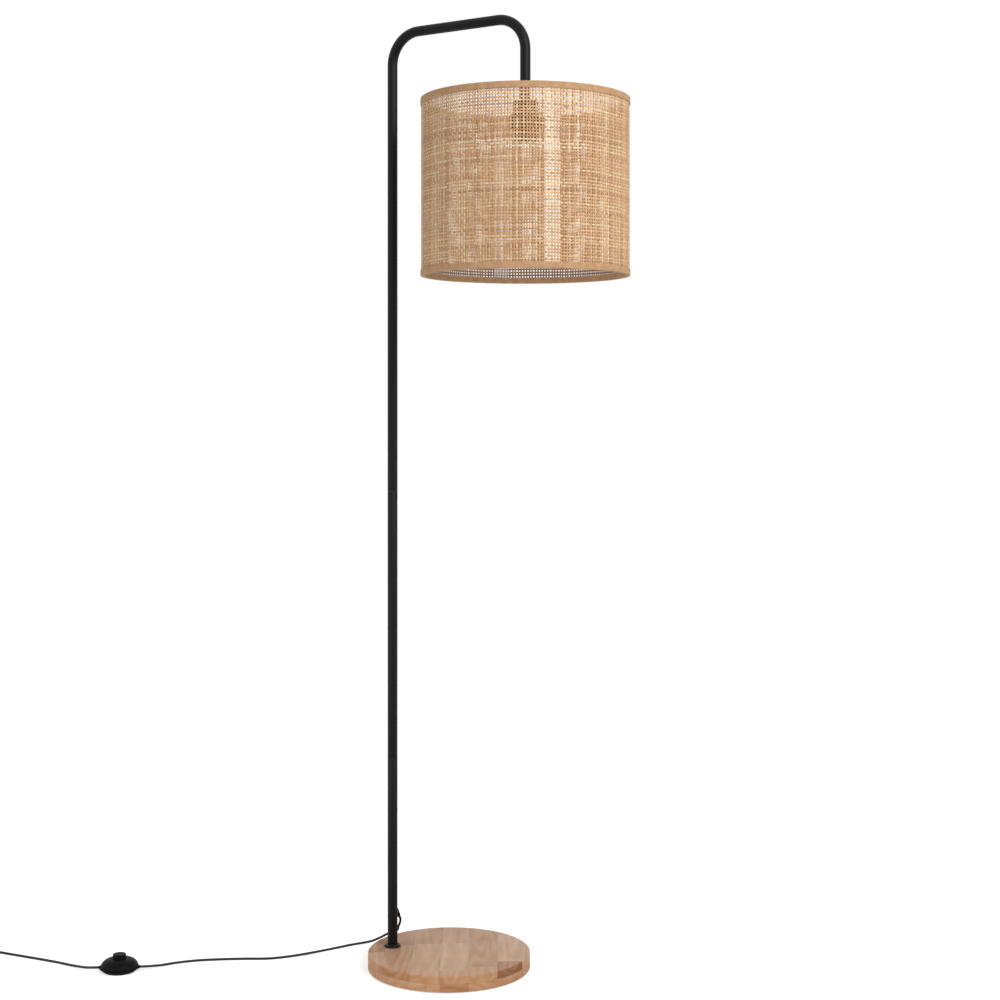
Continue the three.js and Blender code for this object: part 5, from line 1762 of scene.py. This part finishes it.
@dataclass
class Lampholder:
    """The screw-in lampholder under the tube's end."""

    top: float = 1363 * MM
    mouth: float = 1302 * MM
    split: float = 1340.3 * MM
    cap_radius: float = 19.5 * MM
    skirt_radius: float = 19.3 * MM
    skirt_bore: float = 15.7 * MM
    collar_radius: float = 23.5 * MM
    collar_bottom: float = 1338.1 * MM
    ring_top: float = 1334.5 * MM
    core_seat: float = 1326.7 * MM
    core_radius: float = 17.1 * MM
    nipple_bore: float = 5.3 * MM
    nut_bore: float = 8 * MM
    nut_depth: float = 0.6 * MM
    cap_bore: float = 17.3 * MM
    cap_roof: float = 3 * MM
    cap_round: float = 3.8 * MM
    thread_depth: float = 0.55 * MM
    thread_pitch: float = 2.6 * MM
    thread_turns: int = 11
    ring_room: float = 0.3 * MM
    ring_radius: float = 24 * MM
    ring_flange: float = 28 * MM
    ring_height: float = 13.5 * MM
    ring_flange_height: float = 5 * MM
    ring_ribs: int = 36
    ring_rib: tuple[float, float] = (2.2 * MM, 1.6 * MM)
    ring_rib_stop: float = 0.4 * MM
    shell_root: float = 13.7 * MM
    shell_wave: float = 0.6 * MM
    shell_waves: int = 5
    shell_thickness: float = 0.4 * MM

    def build(self) -> None:
        """Makes the cap, skirt, ring and screw shell, and dresses the rest."""
        self.cap()
        self.skirt()
        self.shade_ring()
        self.shell()
        dress(GLAZE, "holder_core")
        dress(ZINC, "holder_nipple", "holder_lock_nut")
        dress(BRASS, "terminal_screw_1", "terminal_screw_2", "contact_tongue")

    def cap(self) -> Object:
        """The rounded cap."""
        roof, seat = self.top - self.cap_roof, self.top - self.nut_depth
        profile = [
            (self.nipple_bore, roof), (self.cap_bore, roof), (self.cap_bore, self.split),
            (self.cap_radius, self.split), (self.cap_radius, self.top), (self.nut_bore, self.top),
            (self.nut_bore, seat), (self.nipple_bore, seat),
        ]
        shape = Shape.turned(profile, 96, {3: 0.4 * MM, 4: self.cap_round}).moved(*SHADE_AXIS)
        return finished(shape.mesh_object("holder_cap_moulded"), Body.STAND, MOULDING, ["holder_cap"])

    def skirt(self) -> Object:
        """The skirt with its outside thread, which the shade ring screws on."""
        crest = self.skirt_radius
        root = crest - self.thread_depth
        core = self.core_radius
        profile = [
            (self.skirt_bore, self.mouth), (crest - 0.6 * MM, self.mouth), (root, self.mouth + 0.6 * MM),
            (root, self.collar_bottom), (self.collar_radius, self.collar_bottom),
            (self.collar_radius, self.split - SEAT_GAP), (core, self.split - SEAT_GAP),
            (core, self.core_seat), (self.skirt_bore, self.core_seat),
        ]
        shape = Shape.turned(profile, 96, {5: 0.4 * MM})
        shape.joined(self.thread(root, crest))
        shape.moved(*SHADE_AXIS)
        return finished(shape.mesh_object("holder_skirt_threaded"), Body.STAND, MOULDING, ["holder_skirt"])

    def thread(self, root: float, crest: float) -> Shape:
        """A rounded thread ridge wound up the skirt.

        Args:
            root: Its radius at the root.
            crest: Its radius at the crest.

        Returns:
            The ridge.
        """
        shape = Shape()
        foot = root - 0.2 * MM
        low = self.mouth + 1.6 * MM
        section = [(foot, 0), (crest, 0.7 * MM), (crest, 1.2 * MM), (foot, 1.9 * MM)]
        corners = [shape.bm.verts.new((radius, 0, low + height)) for radius, height in section]
        face = shape.bm.faces.new(corners)
        steps, turns = 48, self.thread_turns
        shape.spun([face], FULL_TURN * turns, steps * turns, climb=self.thread_pitch / steps)
        return shape.mended()

    def shade_ring(self) -> Object:
        """The ring that clamps the shade, with grip ribs round its lower part."""
        top = self.ring_top
        flange = top - self.ring_flange_height
        low = top - self.ring_height
        bore = self.skirt_radius + self.ring_room
        wide, narrow = self.ring_flange, self.ring_radius
        profile = [(bore, low), (narrow, low), (narrow, flange), (wide, flange), (wide, top), (bore, top)]
        shape = Shape.turned(profile, 96, {1: 0.5 * MM, 3: 0.6 * MM, 4: 0.6 * MM})
        rib = Shape.block((*self.ring_rib, flange - low - 2 * self.ring_rib_stop), 0.4 * MM, 1)
        rib.moved(narrow - 0.2 * MM, 0, (low + flange) / 2)
        more = self.ring_ribs - 1
        parts = rib.bm.verts[:] + rib.bm.edges[:] + rib.bm.faces[:]
        rib.spun(parts, FULL_TURN * more / self.ring_ribs, more, copies=True)
        shape.joined(rib)
        shape.moved(*SHADE_AXIS)
        return finished(shape.mesh_object("shade_ring_ribbed"), Body.STAND, MOULDING, ["shade_ring"])

    def shell(self) -> Object:
        """The rolled brass screw shell."""
        low, high = self.mouth + 2.5 * MM, self.core_seat
        waves = self.shell_waves
        steps = 8 * waves
        outside = []
        for i in range(steps + 1):
            swell = 0.5 - 0.5 * math.cos(FULL_TURN * waves * i / steps)
            outside.append((self.shell_root + self.shell_wave * swell, low + (high - low) * i / steps))
        inside = [(radius - self.shell_thickness, height) for radius, height in reversed(outside)]
        shape = Shape.turned([*outside, *inside], 72).moved(*SHADE_AXIS)
        return finished(shape.mesh_object("screw_shell_rolled"), Body.STAND, BRASS, ["screw_shell"])


@dataclass
class Wander:
    """A smooth, irregular drift over the shade's wall, as hand-drawn webbing has it."""

    rng: np.random.Generator
    height: float
    size: float = 0.55 * MM
    waves: int = 14

    def __post_init__(self) -> None:
        """Draws the waves' numbers round and up the wall, and where each starts."""
        self.around = self.rng.integers(2, 12, self.waves)
        self.upward = self.rng.uniform(-4, 4, self.waves)
        self.start = self.rng.uniform(0, FULL_TURN, self.waves)

    def at(self, turn: np.ndarray, level: np.ndarray) -> np.ndarray:
        """The drift at points of the wall.

        Args:
            turn: Their angles round the shade.
            level: Their heights above the lower rim.

        Returns:
            The drift in metres, none at the rims.
        """
        up = FULL_TURN * level / self.height
        total = sum(
            np.sin(n * turn + m * up + start) for n, m, start in zip(self.around, self.upward, self.start)
        )
        hold = np.clip(np.sin(np.pi * level / self.height), 0, 1) ** 0.5
        return self.size * math.sqrt(2 / self.waves) * total * hold


@dataclass
class DrumShade:
    """The drum shade: woven cane with two joined seams, a tape and a wire at each rim, and the spider."""

    radius: float = 160.5 * MM
    top: float = 1364 * MM
    height: float = 270 * MM
    wall_middle: float = 158.8 * MM
    strand_width: float = 2.45 * MM
    strand_thickness: float = 0.76 * MM
    wave: float = 0.41 * MM
    uprights: int = 218
    rows: int = 56
    tape: float = 9.5 * MM
    tape_thickness: float = 0.6 * MM
    wire: float = 1.5 * MM
    half_wall: float = 0.8 * MM
    strand_inset: float = 1.2 * MM
    unevenness: float = 0.05
    spider_level: float = 1336.3 * MM
    spider_turns: tuple[float, ...] = (92.5, 212.5, 332.5)
    spider_bend: float = 6 * MM
    spider_start: float = 23 * MM
    plate_bore: float = 19.8 * MM
    plate_radius: float = 25 * MM
    plate_half: float = 1.2 * MM

    @property
    def bottom(self) -> float:
        """Height of the lower rim."""
        return self.top - self.height

    @property
    def hoop_radius(self) -> float:
        """Radius of the hoops' middle, inside the weave."""
        return self.wall_middle - self.half_wall - SEAT_GAP - self.wire

    @property
    def strand_ends(self) -> tuple[float, float]:
        """Heights of the strands' lower and upper ends, inside the tapes."""
        return self.bottom + self.strand_inset, self.top - self.strand_inset

    def build(self) -> None:
        """Makes the weave, the rims and the spider."""
        rng = np.random.default_rng(SEED)
        self.sideways = Wander(rng, self.height)
        self.upward = Wander(rng, self.height)
        uprights = self.upright_strands(rng)
        rounds = self.round_strands(rng)
        finished(uprights, Body.SHADE, CANE, ["rattan_wall"], crease=180)
        finished(rounds, Body.SHADE, CANE, crease=180)
        dress(THIN_FILM, "seam_film_1")
        dress(DOUBLE_FILM, "seam_film_2")
        self.rim_tape("top_trim", self.top, -1)
        self.rim_tape("bottom_trim", self.bottom, 1)
        inset = self.tape_thickness + SEAT_GAP + self.wire
        self.hoop("top_hoop", self.top - inset)
        self.hoop("bottom_hoop", self.bottom + inset)
        self.spider(self.top - inset - self.wire - SEAT_GAP)

    def copies(self, shape: Shape, count: int, place: Callable[[int], Matrix]) -> None:
        """Repeats a shape's first body until there are count of them.

        Args:
            shape: The shape, which holds the first body.
            count: How many there are in the end.
            place: The matrix that moves a body on by a number of places.
        """
        bm = shape.bm
        sizes = (len(bm.verts), len(bm.edges), len(bm.faces))
        have = 1
        while have < count:
            more = min(have, count - have)
            lists = (bm.verts, bm.edges, bm.faces)
            stock = [part for parts, size in zip(lists, sizes) for part in parts[: more * size]]
            made = bmesh.ops.duplicate(bm, geom=stock)["geom"]
            bmesh.ops.transform(bm, matrix=place(have), verts=of_kind(made, BMVert))
            have += more

    def strand_object(self, shape: Shape, name: str, count: int) -> tuple[Object, np.ndarray, np.ndarray]:
        """Makes the strands' object and gives its points by strand.

        Args:
            shape: The strands.
            name: The object's name.
            count: How many strands there are.

        Returns:
            The object, its points as an array, and each point's strand number.
        """
        piece = shape.mesh_object(name)
        points = np.empty(len(piece.data.vertices) * 3)
        piece.data.vertices.foreach_get("co", points)
        strand = np.repeat(np.arange(count), len(piece.data.vertices) // count)
        return piece, points.reshape(-1, 3), strand

    def settle(
        self, piece: Object, points: np.ndarray, swing: np.ndarray, tone: np.ndarray, along: np.ndarray
    ) -> None:
        """Waves the strands, lets them drift, puts them round the shade's axis and stores their looks.

        Args:
            piece: The strands' object.
            points: Their points about the shade's axis.
            swing: How far outwards each point goes.
            tone: Each point's tone.
            along: Each point's length along its strand.
        """
        away = np.hypot(points[:, 0], points[:, 1])
        inward = away < self.wall_middle
        turn = np.arctan2(points[:, 1], points[:, 0])
        level = points[:, 2] - self.bottom
        drift = self.sideways.at(turn, level) / self.wall_middle
        points[:, 2] += self.upward.at(turn, level)
        points[:, 0] = (away + swing) * np.cos(turn + drift) + SHADE_AXIS.x
        points[:, 1] = (away + swing) * np.sin(turn + drift) + SHADE_AXIS.y
        piece.data.vertices.foreach_set("co", points.ravel())
        for name, values in (("tone", tone), ("along", along), ("inward", inward)):
            attribute = piece.data.attributes.new(name, "FLOAT", "POINT")
            attribute.data.foreach_set("value", values.astype(np.float32))
        piece.data.update()

    def upright_strands(self, rng: np.random.Generator) -> Object:
        """The upright strands, each waving in and out of the rows.

        Args:
            rng: The source of the strands' small differences.

        Returns:
            The object.
        """
        low, high = self.strand_ends
        shape = Shape.block((self.strand_thickness, self.strand_width, high - low))
        tall = [e for e in shape.bm.edges if e.calc_length() > (high - low) / 2]
        bmesh.ops.subdivide_edges(shape.bm, edges=tall, cuts=2 * self.rows - 1, use_grid_fill=True)
        shape.moved(self.wall_middle, 0, (low + high) / 2)
        step = FULL_TURN / self.uprights
        self.copies(shape, self.uprights, lambda n: Matrix.Rotation(n * step, 4, "Z"))
        piece, points, strand = self.strand_object(shape, "cane_uprights", self.uprights)
        level = (points[:, 2] - low) / (high - low) * self.rows
        swing = self.wave * np.sin(np.pi * level) * np.where(strand % 2, -1.0, 1.0)
        self.sway(points, strand, rng, step)
        tone = rng.beta(2, 2, self.uprights)
        self.settle(piece, points, swing, tone[strand], points[:, 2])
        return piece

    def sway(self, points: np.ndarray, strand: np.ndarray, rng: np.random.Generator, step: float) -> None:
        """Lets the upright strands lie a little unevenly round the shade.

        Args:
            points: Their points about the shade's axis.
            strand: Each point's strand number.
            rng: The source of the unevenness.
            step: The angle between two strands.
        """
        turn = rng.normal(0, self.unevenness * step, self.uprights)[strand]
        cos, sin = np.cos(turn), np.sin(turn)
        x, y = points[:, 0].copy(), points[:, 1].copy()
        points[:, 0] = x * cos - y * sin
        points[:, 1] = x * sin + y * cos

    def round_strands(self, rng: np.random.Generator) -> Object:
        """The rows of strands that go round the shade.

        Args:
            rng: The source of the strands' small differences.

        Returns:
            The object.
        """
        low, high = self.strand_ends
        pitch = (high - low) / self.rows
        half_width, half_thickness = self.strand_width / 2, self.strand_thickness / 2
        middle = low + pitch / 2
        under, over = middle - half_width, middle + half_width
        near, far = self.wall_middle - half_thickness, self.wall_middle + half_thickness
        shape = Shape.turned([(near, under), (far, under), (far, over), (near, over)], 2 * self.uprights)
        self.copies(shape, self.rows, lambda n: Matrix.Translation((0, 0, n * pitch)))
        piece, points, row = self.strand_object(shape, "cane_rounds", self.rows)
        turn = np.arctan2(points[:, 1], points[:, 0])
        swing = -self.wave * np.cos(turn * self.uprights / 2) * np.where(row % 2, -1.0, 1.0)
        points[:, 2] += rng.normal(0, self.unevenness * pitch, self.rows)[row]
        tone = rng.beta(4, 4, self.rows)
        self.settle(piece, points, swing, tone[row], turn * self.wall_middle)
        return piece

    def rim_tape(self, node: str, rim: float, inward: int) -> Object:
        """One folded tape over a rim.

        Args:
            node: The part's node that it stands for.
            rim: The rim's height.
            inward: 1 where the tape runs up from the rim, and -1 where it runs down.

        Returns:
            The piece.
        """
        thick = self.tape_thickness
        inner = self.wall_middle - self.half_wall - SEAT_GAP - 2 * self.wire - SEAT_GAP - thick
        profile = [
            (inner, 0), (self.radius, 0), (self.radius, self.tape), (self.radius - thick, self.tape),
            (self.radius - thick, thick), (inner + thick, thick), (inner + thick, self.tape),
            (inner, self.tape),
        ]
        profile = [(radius, rim + inward * height) for radius, height in profile]
        rounds = {0: 0.5 * MM, 1: 0.55 * MM, 2: 0.2 * MM, 3: 0.2 * MM}
        shape = Shape.turned(profile, 192, rounds).moved(*SHADE_AXIS)
        return finished(shape.mesh_object(f"{node}_tape"), Body.SHADE, TAPE, [node])

    def hoop(self, node: str, level: float) -> Object:
        """One wire hoop.

        Args:
            node: The part's node that it stands for.
            level: Its height.

        Returns:
            The piece.
        """
        sides = 12
        angles = [i * math.pi / (sides // 2) for i in range(sides)]
        middle, wire = self.hoop_radius, self.wire
        profile = [(middle + wire * math.cos(a), level + wire * math.sin(a)) for a in angles]
        shape = Shape.turned(profile, 192).moved(*SHADE_AXIS)
        return finished(shape.mesh_object(f"{node}_wire"), Body.SHADE, WHITE_WIRE, [node], crease=60)

    def spider(self, top: float) -> Object:
        """The centre plate and the three wires out to the upper hoop.

        Args:
            top: Where the wires end under the hoop.

        Returns:
            The piece.
        """
        low, high = self.spider_level - self.plate_half, self.spider_level + self.plate_half
        bore, edge = self.plate_bore, self.plate_radius
        plate = [(bore, low), (edge, low), (edge, high), (bore, high)]
        shape = Shape.turned(plate, 96, {1: 0.4 * MM, 2: 0.4 * MM})
        for turn in self.spider_turns:
            shape.joined(self.spider_wire(top).placed(Matrix.Rotation(math.radians(turn), 4, "Z")))
        shape.moved(*SHADE_AXIS)
        return finished(shape.mesh_object("shade_spider"), Body.SHADE, WHITE_WIRE, ["spider"], crease=60)

    def spider_wire(self, top: float) -> Shape:
        """One wire: flat out from the plate and up to the hoop.

        Args:
            top: Where the wire ends.

        Returns:
            The wire along X.
        """
        shape = Shape()
        start, level, bend = self.spider_start, self.spider_level, self.spider_bend
        reach = self.hoop_radius - bend
        bmesh.ops.create_circle(shape.bm, cap_ends=True, segments=16, radius=self.wire)
        shape.placed(Matrix.Translation((start, 0, level)) @ Matrix.Rotation(math.pi / 2, 4, "Y"))
        front = shape.drawn(shape.bm.faces[:], Vector((reach - start, 0, 0)))
        front = shape.spun(front, -math.pi / 2, 8, (reach, 0, level + bend), (0, 1, 0))
        shape.drawn(front, Vector((0, 0, top - level - bend)))
        inner = [f for f in shape.bm.faces if all(len(e.link_faces) > 2 for e in f.edges)]
        bmesh.ops.delete(shape.bm, geom=inner, context="FACES_ONLY")
        return shape.mended()


def main() -> None:
    """Builds the studio and the lamp in order."""
    logging.basicConfig(level=logging.INFO, format="%(name)s: %(message)s")
    Studio().build()
    lead = MainsLead(FootSwitch())
    lead.build()
    lead.bushing()
    WoodenBase().build()
    BentPole().build()
    Lampholder().build()
    DrumShade().build()


if __name__ == "__main__":
    main()
